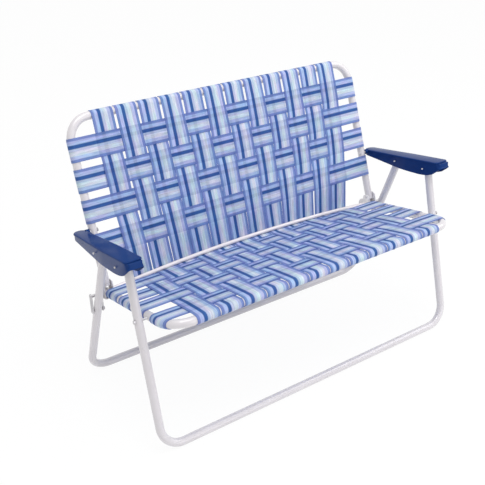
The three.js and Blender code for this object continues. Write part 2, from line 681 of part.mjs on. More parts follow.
// Back: uprights and top bar in one inverted U, with its hinge and arm rivets
const backGroup = back.group();
chair.add(backGroup);
const downBack = (across, down) => new THREE.Vector3(across, 0, BACK_HEIGHT - down);
const backTube = bentTube(frameHalfSpacing, BACK_HEIGHT + UPRIGHT_TAIL, BACK_BEND_RADIUS, cornerUp, downBack);
const backHoles = [hingePivot, armBackPivot].map((point) => ({ at: back.toLocal(point), radius: PIN_RADIUS }));
addMesh(backGroup, "back_frame", drillBothSides(backTube, frameHalfSpacing, backHoles), white);
const armPinEnd = LEG_HALF_SPACING;
for (const side of [-1, 1]) {
  const hingeRivet = headedPin(side, innerEarFace, outerEarFace, PIN_RADIUS, []);
  addPin(chair, "hinge_rivet", side, hingePivot, hingeRivet, steel);
  const headFace = frameInner - HEAD_GAP;
  const armRivet = turnedPin(
    [
      [0, headFace - HEAD_THICKNESS],
      [HEAD_RADIUS - 1, headFace - HEAD_THICKNESS],
      [HEAD_RADIUS, headFace - HEAD_THICKNESS / 2],
      [HEAD_RADIUS, headFace],
      [PIN_RADIUS, headFace],
      [PIN_RADIUS, armPinEnd],
      [0, armPinEnd],
    ],
    side,
  );
  addPin(chair, "arm_rivet", side, armBackPivot, armRivet, steel);
}

// Back webbing: crossing straps from the top row down, then the long straps
const seatToBack = (point) => {
  const local = back.toLocal(seat.toWorld(point.x, point.y));
  return new THREE.Vector2(local.y, -local.x);
};
const seatUpInBack = seatToBack(new THREE.Vector2(0, 1)).sub(seatToBack(new THREE.Vector2()));
const splitAngle = degrees(STRAP_SPLIT_ANGLE + STRAP_SPLIT_HALF);
const splitWay = new THREE.Vector2(Math.cos(splitAngle), Math.sin(splitAngle));
const splitInBack = seatToBack(splitWay).sub(seatToBack(new THREE.Vector2()));
const flatBack = backRows.map(() => 0);
const backOrder = backRows.map((_, row) => row);
backRows.forEach((up, row) => {
  const strip = stripGeometry(crossLine(row, 0, backShare(up)));
  const geometry = placeStrip(strip, axisX, axisFront, new THREE.Vector3(0, 0, up));
  addMesh(backGroup, `back_cross_strap_${row + 1}`, geometry, webbing);
});
longCentres.forEach((across, strap) => {
  const top = new THREE.Vector2(BACK_HEIGHT, 0);
  const line = arcPoints(top, wrapRadius, -90, 90, WRAP_STEPS);
  line.push(...weavePoints(backRows, backOrder, strap, flatBack, -1));
  const lastFlat = line[line.length - 1];
  const endAngle = THREE.MathUtils.radToDeg(splitInBack.angle());
  const foot = across + footShift(across);
  line.push(...ontoBar(lastFlat, seatToBack(barCentre(foot)), 1, endAngle));
  const slide = seatUpInBack.clone().multiplyScalar(barSlope(foot) * (1 - STRAP_FOOT_NARROWING));
  const strip = tiltEnd(stripGeometry(line), (run) => run < lastFlat.x - STRAP_THICKNESS, slide);
  gatherStrip(strip, footShift(across), backShare);
  const geometry = placeStrip(strip, axisZ, axisFront, new THREE.Vector3(across, 0, 0));
  addMesh(backGroup, `back_long_strap_${String(strap + 1).padStart(2, "0")}`, geometry, webbing);
});

// Arm rests: channels open below, with a solid tail that turns on the back's uprights
const armGroup = arms.group();
chair.add(armGroup);
const armEnd = ARM_PIVOT_SPAN + ARM_REAR_OVERHANG;
const armSlope = (ARM_REAR_RISE - ARM_FRONT_RISE) / (armEnd + ARM_FRONT_OVERHANG);
const armTop = (run) => ARM_FRONT_RISE + armSlope * (run + ARM_FRONT_OVERHANG);
const front = -ARM_FRONT_OVERHANG;
const bellyEnd = REAR_LEG_PIVOT_RUN;
const armProfile = [
  [front, armTop(front) - 3],
  [front + 4.5, armTop(front + 4.5)],
  [armEnd - 6, armTop(armEnd - 6)],
  [armEnd, armTop(armEnd) - 3.5],
  [armEnd, -ARM_REAR_DROP * 0.55],
  [armEnd - ARM_REAR_OVERHANG, -ARM_REAR_DROP],
  [bellyEnd, -ARM_BELLY_DROP + 1.1],
  [bellyEnd - 22, -ARM_BELLY_DROP],
  [16, -ARM_BELLY_DROP + 1.4],
  [-2, -ARM_BELLY_DROP + 3.1],
  [-18, -ARM_BELLY_DROP + 6],
  [front * 0.6, -ARM_BELLY_DROP + 13],
  [front * 0.76, -ARM_BELLY_DROP + 20],
  [front * 0.94, armTop(front) - ARM_NOSE_HEIGHT - 2.5],
  [front, armTop(front) - ARM_NOSE_HEIGHT],
].map(([run, rise]) => new THREE.Vector2(run, rise));
const cavityEnd = armEnd - ARM_REAR_OVERHANG - ARM_SOLID_TAIL;
const taperStart = REAR_LEG_PIVOT_RUN * 0.66;
const rearMiddle = armEnd - ARM_REAR_RADIUS;
const rearInner = ARM_REAR_RADIUS - ARM_REAR_SHIFT;
const rearOuter = ARM_REAR_RADIUS + ARM_REAR_SHIFT;
const outerAt = (run) => {
  const share = THREE.MathUtils.clamp((run - taperStart) / (rearMiddle - taperStart), 0, 1);
  return ARM_OUTER_REACH + share * (rearOuter - ARM_OUTER_REACH);
};
const armPlan = [
  [-ARM_INNER_REACH + ARM_CORNER, front],
  [-ARM_INNER_REACH, front + ARM_CORNER],
  [-ARM_INNER_REACH, taperStart],
  [-rearInner, cavityEnd],
  ...arcPoints(new THREE.Vector2(ARM_REAR_SHIFT, rearMiddle), ARM_REAR_RADIUS, 180, 0, 8).map((p) => [p.x, p.y]),
  [ARM_OUTER_REACH, taperStart],
  [ARM_OUTER_REACH, front + ARM_CORNER],
  [ARM_OUTER_REACH - ARM_CORNER, front],
];
const cavityPlan = [
  [-ARM_INNER_REACH + ARM_WALL, front + ARM_WALL],
  [-ARM_INNER_REACH + ARM_WALL, taperStart],
  [-rearInner + ARM_WALL, cavityEnd],
  [outerAt(cavityEnd) - ARM_WALL, cavityEnd],
  [ARM_OUTER_REACH - ARM_WALL, taperStart],
  [ARM_OUTER_REACH - ARM_WALL, front + ARM_WALL],
];
const armDepth = 3 * ARM_FRONT_RISE;
const cavityRoof = [
  [front, armTop(front) - ARM_TOP_THICKNESS],
  [armEnd, armTop(armEnd) - ARM_TOP_THICKNESS],
  [armEnd, -armDepth],
  [front, -armDepth],
].map(([run, rise]) => new THREE.Vector2(run, rise));

// A plan outline of [offset outwards from the leg, run] pairs, extruded through the arm's depth.
function planSolid(outline, side) {
  const points = outline.map(([offset, run]) => new THREE.Vector2(side * (LEG_HALF_SPACING + offset), run));
  const options = { depth: 2 * armDepth, bevelEnabled: false, steps: 1 };
  const geometry = new THREE.ExtrudeGeometry(new THREE.Shape(points), options);
  geometry.translate(0, 0, -armDepth);
  return toSolid(geometry);
}

for (const side of [-1, 1]) {
  const near = side * (LEG_HALF_SPACING - 2 * ARM_OUTER_REACH);
  const far = side * (LEG_HALF_SPACING + 2 * ARM_OUTER_REACH);
  const cavity = planSolid(cavityPlan, side).intersect(toSolid(extrudedAcross(cavityRoof, near, far)));
  const bossFrom = side * (frameOuter + ARM_BOSS_GAP);
  const bossTo = side * (LEG_HALF_SPACING - rearInner + ARM_WALL);
  const rearLegLocal = arms.toLocal(rearLegPivot);
  let arm = toSolid(extrudedAcross(armProfile, near, far))
    .intersect(planSolid(armPlan, side))
    .subtract(cavity)
    .add(toSolid(crossCylinder(ARM_BOSS_RADIUS, bossFrom, bossTo, ARM_PIVOT_SPAN, 0)));
  const pinEnd = side * (armPinEnd + FIT_GAP);
  arm = arm.subtract(toSolid(crossCylinder(holeRadius(PIN_RADIUS), bossFrom - side, pinEnd, ARM_PIVOT_SPAN, 0)));
  for (const at of [new THREE.Vector2(0, 0), rearLegLocal]) {
    arm = arm.subtract(toSolid(crossCylinder(holeRadius(PIN_RADIUS), near, far, at.x, at.y)));
  }
  addMesh(armGroup, sideName("arm", side), toGeometry(arm), navy);

  const innerWall = LEG_HALF_SPACING - ARM_INNER_REACH;
  const outerWall = LEG_HALF_SPACING + ARM_OUTER_REACH;
  const frontRivet = headedPin(side, innerWall, outerWall, PIN_RADIUS, []);
  addPin(chair, "arm_front_rivet", side, armFrontPivot, frontRivet, steel);
  const rearRivet = headedPin(side, innerWall, outerWall, PIN_RADIUS, []);
  addPin(chair, "arm_rear_rivet", side, rearLegPivot, rearRivet, steel);
}

// The finished part: standing on z = 0 with the middle of its box over the origin
const part = new THREE.Group();
part.name = "folding_loveseat";
part.add(chair);
part.updateMatrixWorld(true);
const box = new THREE.Box3().setFromObject(chair, true);
chair.position.y = -(box.min.y + box.max.y) / 2;

export default part;
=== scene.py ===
"""Looks of a folding two-person lawn seat: bent white tube, striped webbing, moulded arm rests.

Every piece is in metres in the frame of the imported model, with its place in its mesh.
"""

import logging
import math
from dataclasses import dataclass, field
from enum import Enum
from itertools import product
from typing import Any, Callable, Sequence

import bmesh
import bpy
from mathutils import Matrix, Vector


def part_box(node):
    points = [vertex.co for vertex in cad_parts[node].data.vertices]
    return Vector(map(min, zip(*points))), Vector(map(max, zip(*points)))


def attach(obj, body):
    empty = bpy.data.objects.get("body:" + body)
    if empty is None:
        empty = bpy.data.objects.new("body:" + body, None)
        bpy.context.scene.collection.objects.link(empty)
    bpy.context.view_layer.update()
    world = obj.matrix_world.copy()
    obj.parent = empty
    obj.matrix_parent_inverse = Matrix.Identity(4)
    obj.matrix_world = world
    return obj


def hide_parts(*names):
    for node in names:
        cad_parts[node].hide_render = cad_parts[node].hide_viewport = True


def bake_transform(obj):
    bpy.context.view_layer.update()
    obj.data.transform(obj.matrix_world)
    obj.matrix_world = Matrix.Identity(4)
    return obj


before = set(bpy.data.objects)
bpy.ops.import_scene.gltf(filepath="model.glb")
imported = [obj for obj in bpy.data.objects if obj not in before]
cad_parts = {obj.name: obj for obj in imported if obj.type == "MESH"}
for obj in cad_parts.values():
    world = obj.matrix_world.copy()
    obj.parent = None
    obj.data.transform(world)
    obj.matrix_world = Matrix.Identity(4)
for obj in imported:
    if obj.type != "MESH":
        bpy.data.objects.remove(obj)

log = logging.getLogger("loveseat")

Piece = bpy.types.Object
Finish = bpy.types.Material
Socket = bpy.types.NodeSocket
Colour = tuple[float, float, float, float]
Place = tuple[float, float, float]
Span = tuple[float, float]
Table = tuple[Span, ...]
Crossing = tuple[float, Sequence[float]]

ACROSS = Vector((1.0, 0.0, 0.0))
ORIGIN = Vector((0.0, 0.0, 0.0))
WHITE: Colour = (1.0, 1.0, 1.0, 1.0)
SIDES = {"left": -1, "right": 1}
SHARP = math.radians(50)


class Body(Enum):
    """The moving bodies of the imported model."""

    SEAT = "seat"
    BACK = "back"
    FRONT_LEGS = "front_legs"
    REAR_LEGS = "rear_legs"
    ARMS = "arms"
    LINKS = "links"


class Slot(Enum):
    """The material slots of the record."""

    FRAME = "frame_paint"
    WEBBING = "webbing"
    ARM = "arm_plastic"
    PLUG = "plug_plastic"
    HARDWARE = "hardware"


def tone(red: int, green: int, blue: int) -> Colour:
    """Turns a display colour into the linear one that a shader takes.

    Args:
        red: Red, from 0 to 255.
        green: Green, from 0 to 255.
        blue: Blue, from 0 to 255.

    Returns:
        Linear red, green and blue, and an alpha of 1.
    """
    shares = [channel / 255 for channel in (red, green, blue)]
    linear = [s / 12.92 if s <= 0.04045 else ((s + 0.055) / 1.055) ** 2.4 for s in shares]
    return (linear[0], linear[1], linear[2], 1.0)


def smooth_step(share: float) -> float:
    """Eases a share of a way from 0 to 1."""
    share = min(max(share, 0.0), 1.0)
    return share * share * (3.0 - 2.0 * share)


def along_table(table: Sequence[Span], where: float) -> float:
    """Reads a table of places and values, with straight lines between its rows.

    Args:
        table: Rows of place and value, in order of place.
        where: The place to read.

    Returns:
        The value there, or the nearest row's outside the table.
    """
    if where <= table[0][0]:
        return table[0][1]
    for (low, low_value), (high, high_value) in zip(table, table[1:]):
        if where <= high:
            return low_value + (high_value - low_value) * (where - low) / (high - low)
    return table[-1][1]


@dataclass(frozen=True)
class SidePlane:
    """A frame seen from the side: an origin in Y and Z, and a turn about X in degrees."""

    y: float
    z: float
    turn: float

    def at(self, across: float, run: float, rise: float) -> Vector:
        """Gives a point in the model's frame from X and the plane's own rearward and upward axes."""
        c, s = math.cos(math.radians(self.turn)), math.sin(math.radians(self.turn))
        return Vector((across, self.y + run * c - rise * s, self.z + run * s + rise * c))

    def way(self, run: float, rise: float) -> Vector:
        """Gives a step in the plane as a vector of the model's frame."""
        return self.at(0.0, run, rise) - self.at(0.0, 0.0, 0.0)

    def matrix(self) -> Matrix:
        """Gives the matrix that carries (across, run, rise) into the model's frame."""
        turn = Matrix.Rotation(math.radians(self.turn), 4, "X")
        return Matrix.Translation((0.0, self.y, self.z)) @ turn


FRONT_LEG_PLANE = SidePlane(-0.232302, 0.0110, -15.21)
REAR_LEG_PLANE = SidePlane(0.174728, 0.0110, 19.7118)
SEAT_PLANE = SidePlane(-0.146022, 0.343028, -11.3125)
BACK_PLANE = SidePlane(0.094858, 0.321670, -20.18765)
ARM_PLANE = SidePlane(-0.100374, 0.477666, -5.25)


def leave_selection() -> None:
    """Goes to object mode with nothing selected."""
    if bpy.context.object and bpy.context.object.mode != "OBJECT":
        bpy.ops.object.mode_set(mode="OBJECT")
    bpy.ops.object.select_all(action="DESELECT")


def rename(piece: Piece, name: str) -> Piece:
    """Names a piece and its mesh."""
    piece.name = piece.data.name = name
    return piece


def linked(name: str, mesh: bpy.types.Mesh) -> Piece:
    """Makes an object of a mesh and selects it alone.

    Args:
        name: The object's name.
        mesh: The mesh.

    Returns:
        The object, which is the active one.
    """
    leave_selection()
    piece = bpy.data.objects.new(name, mesh)
    bpy.context.collection.objects.link(piece)
    piece.select_set(True)
    bpy.context.view_layer.objects.active = piece
    return piece


def modified(piece: Piece, kind: str, **settings: Any) -> None:
    """Puts a modifier on the active piece and applies it.

    Args:
        piece: The piece.
        kind: The modifier's type.
        settings: The modifier's own properties.
    """
    modifier = piece.modifiers.new(kind.lower(), kind)
    for name, value in settings.items():
        setattr(modifier, name, value)
    bpy.ops.object.modifier_apply(modifier=modifier.name)


def turn_outwards() -> None:
    """Turns all faces of the active piece outwards and goes to object mode."""
    bpy.ops.object.mode_set(mode="EDIT")
    bpy.ops.mesh.select_all(action="SELECT")
    bpy.ops.mesh.normals_make_consistent(inside=False)
    bpy.ops.object.mode_set(mode="OBJECT")


def shade(smooth: float) -> None:
    """Shades the active piece smooth where faces meet at less than an angle in degrees."""
    bpy.ops.object.shade_smooth_by_angle(angle=math.radians(smooth))


def is_sharp(edge: bmesh.types.BMEdge) -> bool:
    """Tells whether two faces meet at an edge at a large angle."""
    return len(edge.link_faces) == 2 and edge.calc_face_angle(0.0) > SHARP


class Shaper:
    """One piece under the modeller's hands: a primitive, edit-mode steps, a finished object."""

    end_reach = 0.03
    doubles = 0.00001

    def __init__(self, name: str) -> None:
        """Opens the primitive just added for editing, with its place in its mesh.

        Args:
            name: The piece's name.
        """
        self.piece: Piece = rename(bpy.context.object, name)
        bpy.ops.object.transform_apply(location=True, rotation=True, scale=True)
        bpy.ops.object.mode_set(mode="EDIT")

    @classmethod
    def ring(
        cls, name: str, radius: float, count: int, place: Vector, facing: Vector, filled: bool = False
    ) -> "Shaper":
        """Starts a piece from a circle.

        Args:
            name: The piece's name.
            radius: The circle's radius.
            count: Its number of corners.
            place: Its middle.
            facing: The direction of its axis.
            filled: Whether it has a face.

        Returns:
            The piece, open for editing with the circle selected.
        """
        leave_selection()
        turn = facing.to_track_quat("Z", "Y").to_euler()
        fill = "NGON" if filled else "NOTHING"
        bpy.ops.mesh.primitive_circle_add(
            vertices=count, radius=radius, fill_type=fill, location=place, rotation=turn
        )
        return cls(name)

    def extrude(self, move: Vector) -> None:
        """Extrudes what is selected by a vector."""
        bpy.ops.mesh.extrude_region_move(TRANSFORM_OT_translate={"value": tuple(move)})

    def scale(self, factor: float, middle: Vector) -> None:
        """Scales what is selected about a point."""
        bpy.ops.transform.resize(value=(factor, factor, factor), center_override=tuple(middle))

    def quarter_turn(self, middle: Vector, axis: Vector, steps: int) -> None:
        """Carries the selected ring a quarter round an axis, leaving a bend behind it."""
        bpy.ops.mesh.spin(steps=steps, angle=math.pi / 2, center=tuple(middle), axis=tuple(axis))

    def inset(self, width: float) -> None:
        """Insets the selected face."""
        bpy.ops.mesh.inset(thickness=width, depth=0.0)

    def select(self, chosen: Callable[[Any], bool], kind: str) -> None:
        """Selects the corners, edges or faces that pass a test.

        Args:
            chosen: Tells of each whether it is wanted.
            kind: verts, edges or faces.
        """
        bpy.ops.mesh.select_mode(type=kind.removesuffix("s").upper())
        bpy.ops.mesh.select_all(action="DESELECT")
        shape = bmesh.from_edit_mesh(self.piece.data)
        for item in getattr(shape, kind):
            if chosen(item):
                item.select_set(True)
        shape.select_flush_mode()
        bmesh.update_edit_mesh(self.piece.data)

    def move_selected(self, moved: Callable[[Vector], Vector]) -> None:
        """Moves the selected corners.

        Args:
            moved: Gives a corner's new place from its old one.
        """
        shape = bmesh.from_edit_mesh(self.piece.data)
        for corner in shape.verts:
            if corner.select:
                corner.co = moved(corner.co)
        bmesh.update_edit_mesh(self.piece.data)

    def bevel(self, chosen: Callable[[Any], bool], width: float, segments: int) -> None:
        """Rounds the edges that pass a test.

        Args:
            chosen: Tells of each edge whether it is wanted.
            width: How far the rounding reaches.
            segments: Its number of steps.
        """
        self.select(chosen, "edges")
        bpy.ops.mesh.bevel(
            offset=width, segments=segments, profile=0.5, affect="EDGES", clamp_overlap=True
        )

    def open_end(self, middle: Vector, axis: Vector, wall: float, depth: float) -> None:
        """Closes a tube's end with a rim and a hollow.

        Args:
            middle: The middle of the end.
            axis: The way into the tube.
            wall: The rim's width.
            depth: The hollow's depth.
        """

        def at_end(edge: bmesh.types.BMEdge) -> bool:
            """Tells whether an open edge lies at this end."""
            near = all((v.co - middle).length < self.end_reach for v in edge.verts)
            return edge.is_boundary and near

        self.select(at_end, "edges")
        bpy.ops.mesh.edge_face_add()
        self.inset(wall)
        self.extrude(axis * depth)

    def finish(self, smooth: float = 40.0) -> Piece:
        """Merges doubles, turns the faces outwards and shades the piece.

        Args:
            smooth: The largest angle in degrees that is shaded as one surface.

        Returns:
            The finished object.
        """
        bpy.ops.mesh.select_mode(type="VERT")
        bpy.ops.mesh.select_all(action="SELECT")
        bpy.ops.mesh.remove_doubles(threshold=self.doubles)
        turn_outwards()
        shade(smooth)
        return self.piece


def turned(name: str, profile: Sequence[Span], count: int = 20) -> Piece:
    """Turns a round piece along X by extruding and scaling one ring.

    Args:
        name: The piece's name.
        profile: Rows of place along X and radius, from one closed end to the other.
        count: Corners of the ring.

    Returns:
        The piece, with its axis on the X axis.
    """
    place, radius = profile[0]
    shaper = Shaper.ring(name, radius, count, Vector((place, 0, 0)), ACROSS, filled=True)
    for next_place, next_radius in profile[1:]:
        shaper.extrude(Vector((next_place - place, 0, 0)))
        shaper.scale(next_radius / radius, Vector((next_place, 0, 0)))
        place, radius = next_place, next_radius
    return shaper.finish(35.0)


def copy_of(piece: Piece, name: str) -> Piece:
    """Copies a piece with a mesh of its own.

    Args:
        piece: The piece.
        name: The copy's name.

    Returns:
        The copy.
    """
    twin = piece.copy()
    twin.data = piece.data.copy()
    bpy.context.collection.objects.link(twin)
    return rename(twin, name)


def set_along(pattern: Piece, name: str, place: Vector, facing: Vector) -> Piece:
    """Copies a piece turned along X to a place, with its axis in another direction.

    Args:
        pattern: The piece.
        name: The copy's name.
        place: Where its origin goes.
        facing: Where its X axis points.

    Returns:
        The copy.
    """
    piece = copy_of(pattern, name)
    turn = facing.to_track_quat("X", "Z").to_matrix().to_4x4()
    piece.data.transform(Matrix.Translation(place) @ turn)
    return piece


def discard(*patterns: Piece) -> None:
    """Removes pattern pieces once their copies are made."""
    for pattern in patterns:
        bpy.data.objects.remove(pattern, do_unlink=True)


def joined(pieces: Sequence[Piece], name: str) -> Piece:
    """Joins pieces into one.

    Args:
        pieces: The pieces.
        name: The name of the whole.

    Returns:
        The joined piece.
    """
    leave_selection()
    for piece in pieces:
        piece.select_set(True)
    bpy.context.view_layer.objects.active = pieces[0]
    bpy.ops.object.join()
    return rename(bpy.context.object, name)


def dress(piece: Piece, finish: Finish, slot: Slot, *nodes: str, body: Body | None = None) -> None:
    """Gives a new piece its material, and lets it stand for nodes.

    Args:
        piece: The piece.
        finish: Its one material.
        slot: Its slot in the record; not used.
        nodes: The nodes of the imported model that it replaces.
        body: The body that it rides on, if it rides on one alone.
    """
    piece.data.materials.clear()
    piece.data.materials.append(finish)
    if nodes:
        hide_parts(*nodes)
    if body:
        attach(piece, body.value)
    log.info("%s, %d faces", piece.name, len(piece.data.polygons))


class NodeBench:
    """Adds and links the nodes of one material, or of the world."""

    def __init__(self, owner: Finish | bpy.types.World, shader: str = "Principled BSDF") -> None:
        """Opens the owner's nodes.

        Args:
            owner: The material or the world.
            shader: The name of the shader node that it starts with.
        """
        owner.use_nodes = True
        self.tree = owner.node_tree
        self.shader = self.tree.nodes[shader]

    def put(self, socket: Socket, value: Any) -> None:
        """Links a socket to another one, or sets its value.

        Args:
            socket: The socket.
            value: The other socket or the value.
        """
        if isinstance(value, Socket):
            self.tree.links.new(value, socket)
        else:
            socket.default_value = value

    def set_shader(self, inputs: dict[str, Any]) -> None:
        """Sets the shader's inputs by name."""
        for name, value in inputs.items():
            self.put(self.shader.inputs[name], value)

    def add(self, kind: str, inputs: dict[Any, Any], **settings: Any) -> bpy.types.Node:
        """Adds a node.

        Args:
            kind: The node's type, without its common first word.
            inputs: Values or sockets by input name or number.
            settings: The node's own properties.

        Returns:
            The node.
        """
        node = self.tree.nodes.new("ShaderNode" + kind)
        for name, value in settings.items():
            setattr(node, name, value)
        for name, value in inputs.items():
            self.put(node.inputs[name], value)
        return node

    def math(self, operation: str, first: Any, second: Any = 0.0) -> Socket:
        """Adds a sum on one or two numbers and gives its result."""
        return self.add("Math", {0: first, 1: second}, operation=operation).outputs[0]

    def mix(self, share: Any, first: Any, second: Any, blend: str = "MIX") -> Socket:
        """Adds a mix of two colours and gives its result."""
        inputs = {0: share, 6: first, 7: second}
        return self.add("Mix", inputs, data_type="RGBA", blend_type=blend).outputs[2]

    def stretched(self, point: Socket, scale: Place) -> Socket:
        """Scales a point axis by axis."""
        return self.add("Mapping", {"Vector": point, "Scale": scale}).outputs[0]

    def spot(self) -> Socket:
        """Gives the place on the piece."""
        return self.add("TexCoord", {}).outputs["Object"]

    def noise(self, scale: float, detail: float, point: Socket | None = None) -> Socket:
        """Adds a noise over the piece, or over a point, and gives its value."""
        vector = self.spot() if point is None else point
        return self.add("TexNoise", {"Vector": vector, "Scale": scale, "Detail": detail}).outputs[0]

    def band(self, value: Socket, low: float, high: float, to_low: float, to_high: float) -> Socket:
        """Maps a range of a value to another range, held at its ends."""
        inputs = {0: value, 1: low, 2: high, 3: to_low, 4: to_high}
        return self.add("MapRange", inputs, clamp=True).outputs[0]

    def bump(self, height: Socket, distance: float, strength: float) -> None:
        """Gives the shader a bump of a height field."""
        inputs = {"Height": height, "Distance": distance, "Strength": strength}
        self.set_shader({"Normal": self.add("Bump", inputs).outputs[0]})

    def looked_at(self) -> Socket:
        """Tells whether a ray comes from the camera, also by a mirror or through glass.

        Returns:
            1 where it does, or else 0.
        """
        path = self.add("LightPath", {}).outputs
        straight = self.math("MAXIMUM", path["Is Camera Ray"], path["Is Glossy Ray"])
        return self.math("MAXIMUM", straight, path["Is Transmission Ray"])

    def show(self, output: str, share: Socket, first: Socket, second: Socket) -> None:
        """Sends a mix of two shaders to an output node."""
        mixed = self.add("MixShader", {0: share, 1: first, 2: second})
        self.put(self.tree.nodes[output].inputs[0], mixed.outputs[0])


@dataclass(frozen=True)
class TubePaint:
    """White enamel baked on steel tube: faint flow in the coat, dust and small scuffs."""

    name: str = "tube_enamel"
    colour: Colour = tone(211, 207, 211)
    scuff: Colour = tone(193, 189, 193)
    roughness: float = 0.34

    def material(self) -> Finish:
        """Builds the paint.

        Returns:
            The material.
        """
        paint = bpy.data.materials.new(self.name)
        bench = NodeBench(paint)
        drift = bench.band(bench.noise(9.0, 3.0), 0.35, 0.7, 0.0, 0.35)
        specks = bench.band(bench.noise(260.0, 2.0), 0.66, 0.74, 0.0, 0.5)
        patches = bench.band(bench.noise(14.0, 2.0), 0.52, 0.62, 0.0, 1.0)
        worn = bench.math("MAXIMUM", drift, bench.math("MULTIPLY", specks, patches))
        low, high = self.roughness - 0.07, self.roughness + 0.09
        bench.set_shader({
            "Base Color": bench.mix(worn, self.colour, self.scuff),
            "Roughness": bench.band(bench.noise(55.0, 3.0), 0.3, 0.7, low, high),
            "Coat Weight": 1.0,
            "Coat Roughness": 0.04,
        })
        bench.bump(bench.noise(420.0, 2.0), 0.00012, 0.35)
        return paint


class Yarn(Enum):
    """Colours of the webbing's yarn."""

    EDGE = tone(98, 120, 182)
    BLUE = tone(115, 137, 192)
    SKY = tone(170, 188, 227)
    NAVY = tone(50, 89, 153)
    MIST = tone(181, 193, 220)
    PAPER = tone(204, 215, 226)
    LILAC = tone(173, 187, 222)


@dataclass(frozen=True)
class StripedWebbing:
    """Flat webbing of plastic yarn, striped along its length and showing the strap behind it.

    The weave map's U runs across the strap from its dark side, and V along it in strap widths.
    The under map's U runs across the strap behind.
    """

    stripes: tuple[tuple[Yarn, float, float], ...] = (
        (Yarn.BLUE, 0.03, 0.10),
        (Yarn.SKY, 0.135, 0.26),
        (Yarn.NAVY, 0.295, 0.42),
        (Yarn.MIST, 0.455, 0.54),
        (Yarn.PAPER, 0.56, 0.72),
        (Yarn.LILAC, 0.75, 0.865),
        (Yarn.BLUE, 0.89, 0.96),
    )
    edge: Yarn = Yarn.EDGE
    mint: Colour = (0.93, 1.05, 1.0, 1.0)
    rose: Colour = (1.12, 0.98, 1.02, 1.0)
    gap_shade: Colour = tone(120, 132, 190)
    seen_through: float = 0.3
    ribs: float = 42.0
    picks: float = 38.0
    dye_run: Place = (4.2, 1.1, 1.0)
    # streak_run stretches the painted sheen: lighter and darker streaks along the yarn.
    streak_run: Place = (46.0, 3.0, 1.0)
    broad_run: Place = (17.0, 0.7, 1.0)

    def striped(self, bench: NodeBench, across: Socket) -> Socket:
        """Adds the stripes.

        Args:
            bench: The material's nodes.
            across: The share of the strap's width.

        Returns:
            The colour there.
        """
        inner = [(place, yarn) for yarn, *ends in self.stripes for place in ends]
        stops = [(0.0, self.edge), *inner, (1.0, self.edge)]
        ramp = bench.add("ValToRGB", {0: across})
        row = ramp.color_ramp
        while len(row.elements) < len(stops):
            row.elements.new(0.5)
        for element, (place, yarn) in zip(row.elements, stops):
            element.position = place
            element.color = yarn.value
        return ramp.outputs[0]

    def material(self) -> Finish:
        """Builds the webbing.

        Returns:
            The material.
        """
        cloth = bpy.data.materials.new("striped_webbing")
        bench = NodeBench(cloth)
        point = bench.add("UVMap", {}, uv_map="weave").outputs[0]
        across, along, _ = bench.add("SeparateXYZ", {0: point}).outputs
        dye = bench.noise(1.0, 2.5, bench.stretched(point, self.dye_run))
        batch = bench.mix(bench.band(dye, 0.38, 0.62, 0.0, 1.0), self.mint, self.rose)
        own = bench.mix(1.0, self.striped(bench, across), batch, "MULTIPLY")

        under = bench.add("UVMap", {}, uv_map="under").outputs[0]
        behind = bench.add("SeparateXYZ", {0: under}).outputs[0]
        after, before = bench.math("GREATER_THAN", behind, 0.0), bench.math("LESS_THAN", behind, 1.0)
        shown = bench.math("MULTIPLY", bench.math("MULTIPLY", after, before), self.seen_through)
        yarn = bench.mix(shown, own, self.striped(bench, behind), "MULTIPLY")

        waves = ((across, self.ribs * 2 * math.pi), (along, self.picks * 2 * math.pi))
        rib, pick = (bench.math("SINE", bench.math("MULTIPLY", *wave)) for wave in waves)
        plain = bench.math("MULTIPLY", rib, pick)
        # The streaks, lighter and darker along the yarn, are a painted sheen of the satin yarn.
        streak = bench.noise(1.0, 2.0, bench.stretched(point, self.streak_run))
        broad = bench.noise(1.0, 1.0, bench.stretched(point, self.broad_run))
        for drawn in ((streak, 0.3, 0.72, 0.86, 1.1), (broad, 0.32, 0.68, 0.88, 1.1)):
            yarn = bench.mix(1.0, yarn, bench.band(*drawn), "MULTIPLY")
        gaps = bench.band(plain, -1.0, 0.3, 0.35, 0.0)
        bench.set_shader({
            "Base Color": bench.mix(gaps, yarn, self.gap_shade, "MULTIPLY"),
            "Roughness": bench.band(plain, -1.0, 1.0, 0.6, 0.42),
            "Specular IOR Level": 0.16,
        })
        bench.bump(bench.math("ADD", plain, bench.math("MULTIPLY", rib, 0.6)), 0.00016, 0.7)
        return cloth


@dataclass(frozen=True)
class MouldedPlastic:
    """Moulded plastic with a fine grain and rubbed edges."""

    name: str
    colour: Colour
    rubbed: Colour
    roughness: float = 0.42
    shine: float = 0.5

    def material(self) -> Finish:
        """Builds the plastic.

        Returns:
            The material.
        """
        plastic = bpy.data.materials.new(self.name)
        bench = NodeBench(plastic)
        cloud = bench.band(bench.noise(24.0, 4.0), 0.36, 0.74, 0.0, 0.2)
        edges = bench.add("NewGeometry", {}).outputs["Pointiness"]
        worn = bench.math("MAXIMUM", cloud, bench.band(edges, 0.53, 0.62, 0.0, 0.45))
        low, high = self.roughness - 0.05, self.roughness + 0.05
        bench.set_shader({
            "Base Color": bench.mix(worn, self.colour, self.rubbed),
            "Roughness": bench.band(bench.noise(80.0, 3.0), 0.3, 0.7, low, high),
            "Specular IOR Level": self.shine,
        })
        bench.bump(bench.noise(300.0, 1.0), 0.00003, 0.1)
        return plastic


